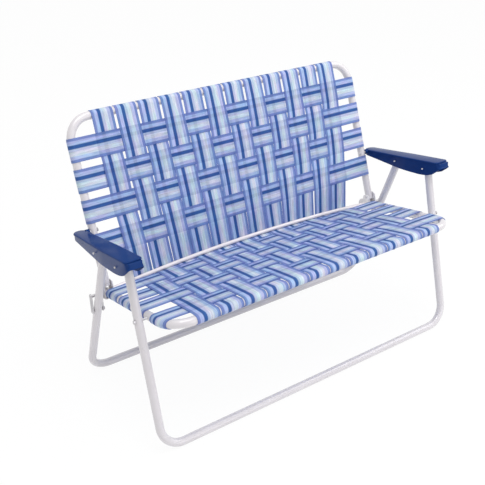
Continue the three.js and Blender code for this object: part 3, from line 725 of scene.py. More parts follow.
@dataclass(frozen=True)
class ZincPlate:
    """Zinc-plated steel with fine brushed lines and dull patches."""

    name: str = "zinc_plate"
    colour: Colour = tone(208, 206, 209)
    dull: Colour = tone(166, 164, 168)
    roughness: float = 0.36
    metal: float = 0.45
    brushed: Place = (900.0, 900.0, 40.0)

    def material(self) -> Finish:
        """Builds the plating.

        Returns:
            The material.
        """
        plate = bpy.data.materials.new(self.name)
        bench = NodeBench(plate)
        lines = bench.noise(1.0, 2.0, bench.stretched(bench.spot(), self.brushed))
        patch = bench.band(bench.noise(70.0, 3.0), 0.4, 0.68, 0.0, 0.7)
        low, high = self.roughness - 0.1, self.roughness + 0.12
        bench.set_shader({
            "Base Color": bench.mix(patch, self.colour, self.dull),
            "Roughness": bench.band(lines, 0.3, 0.7, low, high),
            "Metallic": self.metal,
        })
        bench.bump(lines, 0.00008, 0.3)
        return plate


@dataclass
class BentTube:
    """A U of round tube in a side plane: two straight runs, two bends and a bar across.

    The bar's middle line lies at base, a run and a rise, and the straight runs go from it along step.
    """

    name: str
    body: Body
    plane: SidePlane
    base: Span
    step: Span
    half_width: float
    run: float
    bend: float
    radius: float = 0.0111
    corners: int = 32
    bend_steps: int = 14
    wall: float = 0.0012
    hollow: float = 0.014

    def place(self, across: float, along: float) -> Vector:
        """Gives a point of the tube's plane at a distance along from the bar."""
        run, rise = (start + way * along for start, way in zip(self.base, self.step))
        return self.plane.at(across, run, rise)

    def build(self) -> Piece:
        """Models the tube from a ring at its left end.

        Returns:
            The tube.
        """
        start, end = (self.place(side * self.half_width, self.run) for side in SIDES.values())
        inward = (self.place(-self.half_width, 0.0) - start).normalized()
        axis = ACROSS.cross(inward)
        straight = inward * (self.run - self.bend)
        inset = self.half_width - self.bend
        shaper = Shaper.ring(self.name, self.radius, self.corners, start, inward)
        shaper.extrude(straight)
        shaper.quarter_turn(self.place(self.bend - self.half_width, self.bend), axis, self.bend_steps)
        shaper.extrude(ACROSS * (2 * inset))
        shaper.quarter_turn(self.place(inset, self.bend), axis, self.bend_steps)
        shaper.extrude(-straight)
        for tip in (start, end):
            shaper.open_end(tip, inward, self.wall, self.hollow)
        return shaper.finish()


@dataclass
class TubeFrames:
    """The four bent-tube frames and the thin bar behind the seat."""

    leg_half: float = 0.500
    frame_half: float = 0.4674
    leg_bend: float = 0.058
    frame_bend: float = 0.060
    front_leg: float = 0.4972
    rear_leg: float = 0.4912
    seat_front: float = 0.0983
    seat_rail: float = 0.372455
    back_height: float = 0.4274
    upright: float = 0.4354
    bar_radius: float = 0.0055
    bar_half: float = 0.45245
    bar_run: float = 0.240555
    bar_rise: float = 0.0040
    bow_rise: float = 0.0200
    bow_forward: float = 0.0014
    bar_steps: int = 40
    bar_corners: int = 20
    bar_tip: float = 0.001
    bar_tip_share: float = 0.7
    hinge_run: float = 0.239155

    def tubes(self) -> list[BentTube]:
        """Lists the bent tubes with their places.

        Returns:
            The tubes.
        """
        floor, front, top = (0.0, 0.0), (-self.seat_front, 0.0), (0.0, self.back_height)
        up, rearward, down = (0.0, 1.0), (1.0, 0.0), (0.0, -1.0)
        leg, side = (self.leg_half, self.leg_bend), (self.frame_half, self.frame_bend)
        rows = (
            (Body.FRONT_LEGS, "front_leg", FRONT_LEG_PLANE, floor, up, leg, self.front_leg),
            (Body.REAR_LEGS, "rear_leg", REAR_LEG_PLANE, floor, up, leg, self.rear_leg),
            (Body.SEAT, "seat", SEAT_PLANE, front, rearward, side, self.seat_rail),
            (Body.BACK, "back", BACK_PLANE, top, down, side, self.upright),
        )
        return [
            BentTube(f"{name}_frame_tube", body, plane, base, step, half, run, bend)
            for body, name, plane, base, step, (half, bend), run in rows
        ]

    def bar_centre(self, across: float) -> Span:
        """Gives the rear bar's run and rise in the seat's plane at a place across."""
        share = 1.0 - (across / self.bar_half) ** 2
        return (self.bar_run - self.bow_forward * share, self.bar_rise + self.bow_rise * share)

    def bar_slope(self, across: float) -> float:
        """Gives how fast the rear bar rises at a place across."""
        return -2.0 * self.bow_rise * across / self.bar_half**2

    def build_bar(self) -> Piece:
        """Models the bowed rear bar from a ring at its left end.

        Returns:
            The bar.
        """
        stations = [self.bar_half * (2.0 * i / self.bar_steps - 1.0) for i in range(self.bar_steps + 1)]
        points = [SEAT_PLANE.at(x, *self.bar_centre(x)) for x in stations]
        tip, share = ACROSS * self.bar_tip, self.bar_tip_share
        ring = (self.bar_radius * share, self.bar_corners, points[0], ACROSS)
        shaper = Shaper.ring("seat_rear_bar_rod", *ring, filled=True)
        shaper.extrude(tip)
        shaper.scale(1 / share, points[0] + tip)
        shaper.extrude(points[1] - points[0] - tip)
        for here, there in zip(points[1:-1], points[2:-1]):
            shaper.extrude(there - here)
        shaper.extrude(points[-1] - points[-2] - tip)
        shaper.extrude(tip)
        shaper.scale(share, points[-1])
        return shaper.finish()

    def build(self, paint: Finish, lit_bar_paint: Finish) -> None:
        """Builds the frames and the bar, and puts them on their bodies.

        Args:
            paint: The frames' paint.
            lit_bar_paint: The bar's paint, a lighter copy of the frames' paint: painted light that
                brightens the bar where it lies in the seat's shade.
        """
        for tube in self.tubes():
            dress(tube.build(), paint, Slot.FRAME, tube.name.removesuffix("_tube"), body=tube.body)
        dress(self.build_bar(), lit_bar_paint, Slot.FRAME, "seat_rear_bar", body=Body.SEAT)


@dataclass
class StrapLine:
    """The middle line of a strap, with its width as a vector and what crosses it at each point.

    A crossing is the point's place on the panel and the middles of the straps that cross there.
    The place on the roll that the strap is cut from sets how its dye changes along it.
    """

    points: list[Vector] = field(default_factory=list)
    widths: list[Vector] = field(default_factory=list)
    crossings: list[Crossing] = field(default_factory=list)
    cut_from: float = 0.0

    def length(self) -> float:
        """Gives the line's length."""
        return sum((b - a).length for a, b in zip(self.points, self.points[1:]))

    def mean_width(self) -> float:
        """Gives the strap's width on average."""
        return sum(width.length for width in self.widths) / len(self.widths)

    def behind(self, segment: int, width: float) -> Span:
        """Finds how far across the strap behind it a segment starts and ends.

        Args:
            segment: The segment's number.
            width: The width of the strap behind; below 0 where that one counts the other way.

        Returns:
            Two shares of that strap's width, outside 0 to 1 where it doesn't lie behind.
        """
        start, middles = self.crossings[segment]
        end = self.crossings[segment + 1][0]
        far_off = start + 9.0
        nearest = min(middles, key=lambda middle: abs((start + end) / 2 - middle), default=far_off)
        return ((start - nearest) / width + 0.5, (end - nearest) / width + 0.5)


@dataclass(frozen=True)
class Panel:
    """A woven panel: its plane, and the rows, sags and place on the roll of the straps across it.

    A long strap goes under a row where the sum of both numbers, modulo 2, is first.
    """

    body: Body
    plane: SidePlane
    rows: tuple[float, ...]
    sags: tuple[float, ...]
    first: int
    roll: float

    def place(self, across: float, along: float, level: float) -> Vector:
        """Gives a point of the panel in the model's frame.

        Args:
            across: Place along X.
            along: Place up the back or rearward on the seat.
            level: Height over the tubes' middle, towards the sitter.

        Returns:
            The point.
        """
        if self.body is Body.BACK:
            return self.plane.at(across, -level, along)
        return self.plane.at(across, along, level)

    def along(self, place: Vector) -> float:
        """Gives the place along the panel of a point of its plane."""
        return place.z if self.body is Body.BACK else place.y

    def node(self, row: int) -> str:
        """Names the node of a strap across; the seat's are counted from the rear."""
        number = row + 1 if self.body is Body.BACK else len(self.rows) - row
        return f"{self.body.value}_cross_strap_{number}"


@dataclass
class Webbing:
    """Twelve long straps over the back and the seat, woven with four straps across each.

    By place along a panel, the outer tables give twice the outermost straps' reach, and the gap
    tables the gaps between neighbours; loose_gaps holds for single pairs, counted from the left.
    The shifts draw the long straps sideways at the back's lowest row and at the rear bar.
    """

    frames: TubeFrames
    back: Panel = Panel(
        body=Body.BACK,
        plane=BACK_PLANE,
        rows=(0.3494, 0.2700, 0.1904, 0.1010),
        sags=(0.0, 0.0, 0.0, 0.0),
        first=0,
        roll=301.3,
    )
    seat: Panel = Panel(
        body=Body.SEAT,
        plane=SEAT_PLANE,
        rows=(-0.0440, 0.0495, 0.1200, 0.19265),
        sags=(0.0, 0.0004, -0.0003, -0.0008),
        first=1,
        roll=437.1,
    )
    roll_step: float = 23.9
    long_roll_step: float = 21.7
    width: float = 0.061
    thickness: float = 0.001
    columns: int = 10
    wrap: float = 0.0119
    wrap_steps: int = 18
    bar_wrap: float = 0.0065
    bar_steps: int = 10
    rise: float = 0.00075
    margin: float = 0.002
    back_outer: Table = (
        (0.0, 0.0600), (0.060, 0.0610), (0.100, 0.0620), (0.190, 0.0630),
        (0.270, 0.0628), (0.349, 0.0616), (0.427, 0.0606),
    )
    seat_outer: Table = ((0.0, 0.0636), (0.120, 0.0626), (0.200, 0.0614), (0.236, 0.0600))
    back_gaps: Table = (
        (0.0, 0.0006), (0.100, 0.0006), (0.190, 0.0004), (0.270, 0.0007),
        (0.312, 0.0020), (0.390, 0.0066), (0.427, 0.0071),
    )
    loose_gaps: tuple[tuple[int, Table], ...] = (
        (0, ((0.0, 0.0030), (0.060, 0.0034), (0.120, 0.0050), (0.312, 0.0066), (0.427, 0.0071))),
        (1, ((0.0, 0.0016), (0.060, 0.0020), (0.120, 0.0014), (0.312, 0.0034), (0.390, 0.0066),
             (0.427, 0.0071))),
        (9, ((0.0, 0.0040), (0.070, 0.0040), (0.130, 0.0014), (0.312, 0.0026), (0.390, 0.0066),
             (0.427, 0.0071))),
    )
    seat_gaps: Table = (
        (-0.092, 0.0034), (-0.082, 0.0030), (-0.060, 0.0012), (0.0, 0.0010), (0.236, 0.0006),
    )
    loose_reach: float = 0.050
    run_in: float = 0.030
    edge_inset: float = 0.0646
    ends: float = 0.075
    tuck: float = 22.0
    spacing: float = 0.067691
    count: int = 12
    low_edge: float = 0.0685
    drift_power: float = 2.2
    row_shifts: tuple[float, ...] = (
        0.0077, 0.0052, 0.0027, 0.0002, -0.0024, -0.0049,
        -0.0085, -0.0125, -0.0175, -0.0250, -0.0270, -0.0287,
    )
    foot_shifts: tuple[float, ...] = (
        0.0150, 0.0152, 0.0120, 0.0090, 0.0065, 0.0020,
        -0.0006, -0.0035, -0.0176, -0.0255, -0.0270, -0.0310,
    )
    grain: float = 0.005
    back_face: float = 0.009
    seat_face: float = 0.006
    tilt_reach: float = 0.012
    gap_share: float = 0.3
    lean_limit: float = 0.9
    crease_rise: float = 0.020
    crease_up: float = 0.058

    def centres(self) -> list[float]:
        """Lists the long straps' places across at the top."""
        return [(i - (self.count - 1) / 2) * self.spacing for i in range(self.count)]

    def back_places(self, up: float) -> list[float]:
        """Lists the long straps' places across, which are drawn together towards the rear bar.

        Args:
            up: The height up the back.

        Returns:
            The places, from the left.
        """
        height = self.frames.back_height
        if up >= self.low_edge:
            share = max((height - up) / (height - self.low_edge), 0.0) ** self.drift_power
            return [across + shift * share for across, shift in zip(self.centres(), self.row_shifts)]
        share = min(1.0 - up / self.low_edge, 1.0)
        shifts = zip(self.centres(), self.row_shifts, self.foot_shifts)
        return [across + row + (foot - row) * share for across, row, foot in shifts]

    def seat_places(self, run: float) -> list[float]:
        """Lists the long straps' places across on the seat.

        Args:
            run: The place along the seat.

        Returns:
            The places, from the left.
        """
        reach = self.frames.seat_front
        share = min(max((run + reach) / (self.frames.hinge_run + reach), 0.0), 1.0)
        return [across + shift * share for across, shift in zip(self.centres(), self.foot_shifts)]

    @staticmethod
    def edges(places: Sequence[float], outer: float, gaps: Sequence[float]) -> list[Span]:
        """Lists the long straps' left and right edges at one place along them.

        Args:
            places: Their places across there.
            outer: Twice the reach of the two outermost straps from middle to outer edge.
            gaps: The gaps between neighbours, from the left.

        Returns:
            The edges, from the left.
        """
        pairs = zip(places, places[1:], gaps)
        joints = [((a + b - gap) / 2, (a + b + gap) / 2) for a, b, gap in pairs]
        lefts = [places[0] - outer / 2, *(after for _, after in joints)]
        rights = [*(before for before, _ in joints), places[-1] + outer / 2]
        return list(zip(lefts, rights))

    def gaps(self, up: float) -> list[float]:
        """Lists the gaps between the long straps at a height up the back."""
        loose = dict(self.loose_gaps)
        return [along_table(loose.get(i, self.back_gaps), up) for i in range(self.count - 1)]

    def back_spans(self, up: float) -> list[Span]:
        """Lists the long straps' edges at a height up the back."""
        return self.edges(self.back_places(up), along_table(self.back_outer, up), self.gaps(up))

    def seat_spans(self, run: float) -> list[Span]:
        """Lists the long straps' edges on the seat, with the back's gaps near the rear bar.

        Args:
            run: The place along the seat.

        Returns:
            The edges, from the left.
        """
        plain = along_table(self.seat_gaps, run)
        near = smooth_step((run - self.frames.hinge_run + self.loose_reach) / self.loose_reach)
        gaps = [plain + (gap - plain) * near for gap in self.gaps(0.0)]
        return self.edges(self.seat_places(run), along_table(self.seat_outer, run), gaps)

    @staticmethod
    def arc(middle: Span, radius: float, start: float, end: float, steps: int) -> list[Vector]:
        """Lists points on an arc in a side plane.

        Args:
            middle: The arc's middle.
            radius: Its radius.
            start: Its first angle, in degrees.
            end: Its last angle.
            steps: Steps between them.

        Returns:
            Points in two dimensions.
        """
        x, y = middle
        angles = [math.radians(start + (end - start) * i / steps) for i in range(steps + 1)]
        return [Vector((x + radius * math.cos(a), y + radius * math.sin(a))) for a in angles]

    def wrapped(self, middle: float, start: float, end: float) -> list[Vector]:
        """Lists points round a frame tube from one angle to another."""
        return self.arc((middle, 0.0), self.wrap, start, end, self.wrap_steps)

    def eased(self, corners: Sequence[Vector]) -> list[Vector]:
        """Turns a cornered line into one with soft steps, keeping its ends.

        Args:
            corners: The line's corners in two dimensions.

        Returns:
            Closer points along the softened line.
        """
        fine: list[Vector] = []
        for here, there in zip(corners, corners[1:]):
            pieces = max(1, round((there - here).length / self.grain))
            fine += [here.lerp(there, i / pieces) for i in range(pieces)]
        fine.append(corners[-1])
        for _ in range(2):
            inner = [(a + b * 2 + c) / 4 for a, b, c in zip(fine, fine[1:], fine[2:])]
            fine = [fine[0], *inner, fine[-1]]
        return fine

    def tangent(self, point: Vector, middle: Vector, prefer: Vector) -> float:
        """Finds where a strap from a point meets the rear bar.

        Args:
            point: The point.
            middle: The bar's middle.
            prefer: The side of the bar that the strap passes.

        Returns:
            The angle of the meeting point about the bar, in degrees.
        """
        away = point - middle
        aim = math.atan2(away.y, away.x)
        swing = math.acos(self.bar_wrap / away.length)
        choices = [aim + swing, aim - swing]
        best = max(choices, key=lambda a: Vector((math.cos(a), math.sin(a))).dot(prefer))
        return math.degrees(best)

    def level(self, over: bool, sag: float) -> float:
        """Gives a strap's level where it goes over or under another one."""
        return self.wrap - sag + (self.rise if over else -self.rise)

    def crossed(self, panel: Panel, strap: int, ahead: float) -> list[Vector]:
        """Lists the corners of a long strap's way over and under the straps across a panel.

        Args:
            panel: The panel.
            strap: The long strap's number.
            ahead: Half a crossing's length; below 0 where the strap runs against the panel.

        Returns:
            Points of place along the panel and level.
        """
        corners = []
        for row, (place, sag) in enumerate(zip(panel.rows, panel.sags)):
            level = self.level((row + strap) % 2 != panel.first, sag)
            corners += [Vector((place - ahead, level)), Vector((place + ahead, level))]
        return corners

    def long_line(self, strap: int) -> StrapLine:
        """Lays one long strap from behind the top bar, under the rear bar, to below the front bar.

        Args:
            strap: The strap's number from the left, from 0.

        Returns:
            Its line.
        """
        back, seat = self.back, self.seat
        slope = self.frames.bar_slope(self.back_places(0.0)[strap])
        up_seat = SEAT_PLANE.way(0.0, 1.0)
        line = StrapLine(cut_from=strap * self.long_roll_step)

        def put(
            panel: Panel, spans: list[Span], point: Vector, tilt: float, crossing: Crossing = (0.0, ())
        ) -> None:
            """Adds a point to the line.

            Args:
                panel: The panel that the point is given in.
                spans: The long straps' edges there.
                point: Its place along the panel and its level.
                tilt: How far the strap leans with the bar there, from 0 to 1.
                crossing: What crosses the strap there.
            """
            near, far = spans[strap]
            line.points.append(panel.place((near + far) / 2, point.x, point.y))
            line.widths.append((ACROSS + up_seat * (slope * tilt)) * (far - near))
            line.crossings.append(crossing)

        flat = self.width / 2 + self.margin
        top = self.wrapped(self.frames.back_height, -90.0 - self.tuck, 90.0)
        down = top[:-1] + self.eased([top[-1], *self.crossed(back, strap, -flat)])
        for point in down:
            rows = back.rows if point.y > self.back_face else ()
            put(back, self.back_spans(point.x), point, 0.0, (point.x, rows))

        last = back.place(0, down[-1].x, down[-1].y)
        turn = Matrix.Rotation(-math.radians(SEAT_PLANE.turn), 2)
        from_back = turn @ (Vector((last.y, last.z)) - Vector((SEAT_PLANE.y, SEAT_PLANE.z)))
        flats = self.crossed(seat, strap, flat)
        at_bar = self.back_spans(0.0)
        middle = Vector(self.frames.bar_centre(sum(at_bar[strap]) / 2))
        first_angle = self.tangent(from_back, middle, Vector((1.0, 0.0)))
        last_angle = self.tangent(flats[-1], middle, Vector((0.0, -1.0)))
        while last_angle > first_angle:
            last_angle -= 360.0
        bend = self.arc(tuple(middle), self.bar_wrap, first_angle, last_angle, self.bar_steps)
        steps = max(2, round((bend[0] - from_back).length / self.grain))
        for share in (i / steps for i in range(1, steps)):
            spans = self.back_spans(down[-1].x * (1 - share))
            put(seat, spans, from_back.lerp(bend[0], share), smooth_step(share))
        for point in bend:
            put(seat, at_bar, point, 1.0)

        front = self.wrapped(-self.frames.seat_front, 90.0, 270.0 + self.tuck)
        forwards = self.eased([bend[-1], *reversed(flats), front[0]])[1:] + front[1:]
        for point in forwards:
            tilt = smooth_step((point.x - seat.rows[-1] - flat) / self.tilt_reach)
            rows = seat.rows if point.y > self.seat_face else ()
            put(seat, self.seat_spans(point.x), point, tilt, (point.x, rows))
        return line

    def cross_side(self, row: int, sag: float, spans: Sequence[Span]) -> list[Vector]:
        """Lays a crossing strap's side line, wrapped round the outer side of both side tubes.

        Args:
            row: The row's number, which sets over and under.
            sag: How far the strap lies below the tubes' tops.
            spans: The long straps' edges there.

        Returns:
            Points of place across and level.
        """
        between = [after - before for (_, before), (after, _) in zip(spans, spans[1:])]
        inner = [min(gap * self.gap_share, self.margin) for gap in between]
        slack = [self.margin, *inner, self.margin]
        half = self.frames.frame_half
        left = self.wrapped(-half, 270.0 + self.tuck, 90.0)
        right = self.wrapped(half, 90.0, -90.0 - self.tuck)
        ease = self.wrap - sag * self.run_in / self.edge_inset
        corners = [left[-1], Vector((self.run_in - half, ease))]
        for strap, (near, far) in enumerate(spans):
            level = self.level((row + strap) % 2 == 0, sag)
            tips = (near - slack[strap], far + slack[strap + 1])
            corners += [Vector((tip, level)) for tip in tips]
        corners += [Vector((half - self.run_in, ease)), right[0]]
        return left[:-1] + self.eased(corners) + right[1:]

    def cross_line(self, panel: Panel, row: int) -> StrapLine:
        """Lays one strap across a panel.

        Args:
            panel: The panel.
            row: The strap's number from the back's top or the seat's front, from 0.

        Returns:
            Its line.
        """
        along = panel.rows[row]
        spans = self.back_spans(along) if panel is self.back else self.seat_spans(along)
        centres = [(near + far) / 2 for near, far in spans]
        width = (panel.place(0, 0, 0) - panel.place(0, 1, 0)) * self.width
        side = self.cross_side(row + panel.first, panel.sags[row], spans)
        points = [panel.place(p.x, along, p.y) for p in side]
        crossings = [(p.x, centres) for p in side]
        return StrapLine(points, [width] * len(points), crossings, panel.roll + row * self.roll_step)

    def strip(self, name: str, line: StrapLine, behind: float) -> Piece:
        """Makes a flat strap along a line, with maps that follow it, and gives it its thickness.

        Args:
            name: The strap's name.
            line: Its middle line.
            behind: The width of the straps behind it; below 0 where they count the other way.

        Returns:
            The strap.
        """
        shares = [i / self.columns for i in range(self.columns + 1)]
        stride = len(shares)
        rows = zip(line.points, line.widths)
        corners = [point + width * (share - 0.5) for point, width in rows for share in shares]
        cells = product(range(len(line.points) - 1), range(self.columns))
        starts = [r * stride + c for r, c in cells]
        faces = [(at, at + 1, at + stride + 1, at + stride) for at in starts]
        mesh = bpy.data.meshes.new(name)
        mesh.from_pydata(corners, [], faces)
        lengths = [line.cut_from]
        for here, there in zip(line.points, line.points[1:]):
            lengths.append(lengths[-1] + (there - here).length / self.width)
        weave, under = (mesh.uv_layers.new(name=layer) for layer in ("weave", "under"))
        for face in mesh.polygons:
            segment = face.index // self.columns
            ends = line.behind(segment, behind)
            for index in face.loop_indices:
                r, c = divmod(mesh.loops[index].vertex_index, stride)
                weave.data[index].uv = (shares[c], lengths[r])
                under.data[index].uv = (ends[r - segment], 0.0)
        strap = linked(name, mesh)
        modified(strap, "SOLIDIFY", thickness=self.thickness, offset=0.0, use_even_offset=True)
        turn_outwards()
        shade(50.0)
        return strap

    def follow_bend(self, piece: Piece, panel: Panel) -> None:
        """Draws a crossing strap's ends in where the side tubes bend away under them.

        Args:
            piece: The strap.
            panel: Its panel.
        """
        half, bend = self.frames.frame_half, self.frames.frame_bend
        to_plane = panel.plane.matrix().inverted()
        for corner in piece.data.vertices:
            along = panel.along(to_plane @ corner.co)
            if panel is self.back:
                depth = along - (self.frames.back_height - bend)
            else:
                depth = bend - self.frames.seat_front - along
            if depth <= 0.0:
                continue
            lean = math.sqrt(1.0 - min(depth / bend, self.lean_limit) ** 2)
            across = abs(corner.co.x)
            drawn = bend * (1.0 - lean) * smooth_step((across - half + self.ends) / self.ends)
            beyond = max(across - half, 0.0)
            corner.co.x = math.copysign(across - drawn + beyond / lean - beyond, corner.co.x)

    def lay_long(self, strap: int, cloth: Finish) -> None:
        """Makes one long strap in place of its two nodes, creased between back and seat.

        Args:
            strap: Its number from the left, from 0.
            cloth: Its webbing.
        """
        line = self.long_line(strap)
        number = f"long_strap_{strap + 1:02d}"
        piece = self.strip(number, line, -self.width)
        dress(piece, cloth, Slot.WEBBING, f"back_{number}", f"seat_{number}")
        line.mean_width()
        line.length()
        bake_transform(piece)

    def lay_cross(self, panel: Panel, row: int, cloth: Finish) -> None:
        """Makes one crossing strap in place of its node.

        Args:
            panel: Its panel.
            row: Its number on the panel, from 0.
            cloth: Its webbing.
        """
        line, node, body = self.cross_line(panel, row), panel.node(row), panel.body.value
        piece = self.strip(f"{node}_weave", line, self.spacing)
        dress(piece, cloth, Slot.WEBBING, node)
        line.length()
        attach(piece, body)
        self.follow_bend(piece, panel)

    def build(self, cloth: Finish) -> None:
        """Makes every strap, and puts each strap across on its panel's body.

        Args:
            cloth: The webbing.
        """
        for strap in range(self.count):
            self.lay_long(strap, cloth)
        for row, panel in product(range(len(self.back.rows)), (self.back, self.seat)):
            self.lay_cross(panel, row, cloth)


@dataclass
class ArmRests:
    """Moulded arm rests: a rounded top plate over side walls, hollow below, a boss at the tail.

    Runs are counted from the front leg's pivot rearward, and belly gives the underside's height.
    """

    leg_half: float = 0.500
    front: float = -0.0546
    top_start: float = -0.0626
    top_rise: float = 0.031
    top_fall: float = 0.0828
    nose: float = 0.0110
    nose_reach: float = 0.024
    end: float = 0.2562
    inner: float = 0.0185
    outer: float = 0.0290
    tail_radius: float = 0.0182
    tail_shift: float = 0.0042
    tail_steps: int = 14
    taper: float = 0.0747
    tail_start: float = 0.212
    side_steps: int = 28
    corner: float = 0.0095
    corner_steps: int = 5
    plate: float = 0.0042
    rim_round: float = 0.0026
    edge_round: float = 0.0007
    lip: float = 0.0019
    lip_forward: float = 0.9
    lip_reach: float = 0.012
    wall: float = 0.0026
    roof: float = 0.0045
    tail_hollow: float = 0.0008
    hollow_end: float = 0.205
    ramp: float = 0.006
    roof_area: float = 0.0001
    step: float = 0.001
    belly: Table = (
        (-0.0656, 0.0130), (-0.0620, 0.0102), (-0.0550, 0.0042), (-0.0476, -0.0017), (-0.0376, -0.0087),
        (-0.0280, -0.0126), (-0.0180, -0.0157), (-0.0020, -0.0186), (0.0160, -0.0203), (0.0500, -0.0213),
        (0.0912, -0.0217), (0.1132, -0.0206), (0.2405, -0.0131), (0.2500, -0.0105), (0.2562, -0.0072),
    )
    boss: Table = ((0.4790, 0.0062), (0.4796, 0.0075), (0.4880, 0.0075), (0.4890, 0.0080))
    boss_run: float = 0.2405

    def top(self, run: float) -> float:
        """Gives the height of the top at a run."""
        return self.top_rise - self.top_fall * (run - self.top_start)

    def roof_height(self, run: float) -> float:
        """Gives the height of the hollow's roof at a run, near the belly where the tail is solid.

        Args:
            run: The place along the arm.

        Returns:
            The height.
        """
        belly = along_table(self.belly, run)
        deep = self.top(run) - self.roof
        shallow = belly + self.tail_hollow
        return deep + (shallow - deep) * smooth_step((run - self.hollow_end) / self.ramp)

    def outline(self) -> list[Span]:
        """Lists the plan's corners, once round.

        Returns:
            Rows of offset from the leg and run.
        """
        middle = self.end - self.tail_radius
        first = self.front + self.corner
        tail_inner, tail_outer = (self.tail_radius + way * self.tail_shift for way in (-1, 1))
        inner = [(first, -self.inner), (self.taper, -self.inner)]
        inner += [(self.tail_start, -tail_inner), (middle, -tail_inner)]
        outer = [(first, self.outer), (self.taper, self.outer), (middle, tail_outer)]
        length = middle - self.front - self.corner
        stations = [first + length * i / self.side_steps for i in range(self.side_steps + 1)]
        plan = [(along_table(inner, run), run) for run in stations]
        for i in range(1, self.tail_steps):
            angle = math.pi - math.pi * i / self.tail_steps
            across, along = self.tail_radius * math.cos(angle), self.tail_radius * math.sin(angle)
            plan.append((self.tail_shift + across, middle + along))
        plan += [(along_table(outer, run), run) for run in reversed(stations)]
        angles = [math.pi / 2 * i / self.corner_steps for i in range(self.corner_steps + 1)]
        turns = [(math.cos(angle), math.sin(angle)) for angle in angles]
        turned_out = [(self.outer, across, along) for across, along in turns[1:]]
        turned_in = [(self.inner, across, along) for along, across in turns[:-1]]
        for sign, rows in ((1, turned_out), (-1, turned_in)):
            for reach, across, along in rows:
                offset = sign * (reach - self.corner + self.corner * across)
                plan.append((offset, first - self.corner * along))
        return plan

    def push_front(self, shaper: Shaper, distance: float, reach: float) -> None:
        """Moves the selected corners near the front forward.

        Args:
            shaper: The arm.
            distance: How far the foremost corners go.
            reach: How far behind the front the move fades out.
        """

        def pushed(co: Vector) -> Vector:
            """Gives a corner's new place."""
            share = 1.0 - smooth_step((co.y - self.front - self.lip) / reach)
            return Vector((co.x, co.y - distance * share, co.z))

        shaper.move_selected(pushed)

    def build_right(self) -> Piece:
        """Models the right arm in its own plane, from a plan outline pulled down and hollowed.

        Returns:
            The arm, not yet carried into the model's frame.
        """
        plan = self.outline()
        up = Vector((0, 0, 1))
        shaper = Shaper.ring("arm_right_rest", self.outer, len(plan), ORIGIN, up, filled=True)
        shape = bmesh.from_edit_mesh(shaper.piece.data)
        shape.verts.ensure_lookup_table()
        for corner, (offset, run) in zip(shape.verts, plan):
            corner.co = Vector((self.leg_half + offset, run, self.top(run)))
        bmesh.update_edit_mesh(shaper.piece.data)
        shaper.select(lambda f: True, "faces")
        shaper.extrude(-up * self.plate)
        shaper.inset(self.lip)
        self.push_front(shaper, self.lip_forward * self.lip, self.lip_reach)
        shaper.extrude(-up * self.step)
        self.push_front(shaper, self.nose, self.nose_reach)
        shaper.move_selected(lambda co: Vector((co.x, co.y, along_table(self.belly, co.y))))
        shaper.inset(self.wall)
        shaper.extrude(up * self.step)
        for run in (self.hollow_end, self.hollow_end + self.ramp):
            bpy.ops.mesh.bisect(plane_co=(0, run, 0), plane_no=(0, 1, 0))
            shaper.select(lambda f: f.normal.z < -0.5 and f.calc_area() > self.roof_area, "faces")
        shaper.move_selected(lambda co: Vector((co.x, co.y, self.roof_height(co.y))))
        shaper.bevel(lambda e: is_sharp(e) and self.at_top(e), self.rim_round, 5)
        shaper.bevel(is_sharp, self.edge_round, 2)
        return shaper.finish(38.0)

    def at_top(self, edge: bmesh.types.BMEdge) -> bool:
        """Tells whether an edge lies at the top."""
        return all(abs(v.co.z - self.top(v.co.y)) < self.plate * 0.5 for v in edge.verts)

    def build(self, plastic: Finish) -> None:
        """Builds both arms in place of their nodes.

        Args:
            plastic: Their plastic.
        """
        boss = turned("arm_boss", self.boss)
        boss.data.transform(Matrix.Translation((0, self.boss_run, 0.0)))
        arm = joined([self.build_right(), boss], "arm_right_rest")
        twin = copy_of(arm, "arm_left_rest")
        twin.data.transform(Matrix.Scale(-1.0, 4, ACROSS))
        twin.data.flip_normals()
        for piece in (arm, twin):
            piece.data.transform(ARM_PLANE.matrix())
            dress(piece, plastic, Slot.ARM, piece.name.removesuffix("_rest"), body=Body.ARMS)


@dataclass
class StrapScrews:
    """Pan-head screws that hold the straps' ends behind and below the tubes."""

    webbing: Webbing
    profile: Table = (
        (0.0, 0.0036), (0.0008, 0.0036), (0.0014, 0.0032), (0.0018, 0.0024),
        (0.0019, 0.0018), (0.0019, 0.0014), (0.0008, 0.0012),
    )

    def spots(self, panel: Panel, tube: float) -> list[Vector]:
        """Lists the places of a panel's screws.

        Args:
            panel: The panel.
            tube: The place along it of the tube where the long straps end.

        Returns:
            The places.
        """
        cloth = self.webbing
        under = cloth.wrap + cloth.thickness / 2
        half = cloth.frames.frame_half
        rows = product(SIDES.values(), panel.rows)
        ends = [(x, tube) for x in cloth.centres()] + [(side * half, along) for side, along in rows]
        return [panel.place(across, along, -under) for across, along in ends]

    def build(self, steel: Finish) -> None:
        """Puts a screw in every strap end, joined into one piece for each body.

        Args:
            steel: Their plating.
        """
        cloth, frames = self.webbing, self.webbing.frames
        pattern = turned("strap_screw", self.profile, 16)
        for panel, tube, facing in (
            (cloth.seat, -frames.seat_front, -SEAT_PLANE.way(0, 1)),
            (cloth.back, frames.back_height, BACK_PLANE.way(1, 0)),
        ):
            spots = self.spots(panel, tube)
            heads = [set_along(pattern, "strap_screw_copy", spot, facing) for spot in spots]
            piece = joined(heads, f"{panel.body.value}_strap_screws")
            dress(piece, steel, Slot.HARDWARE, body=panel.body)
        discard(pattern)


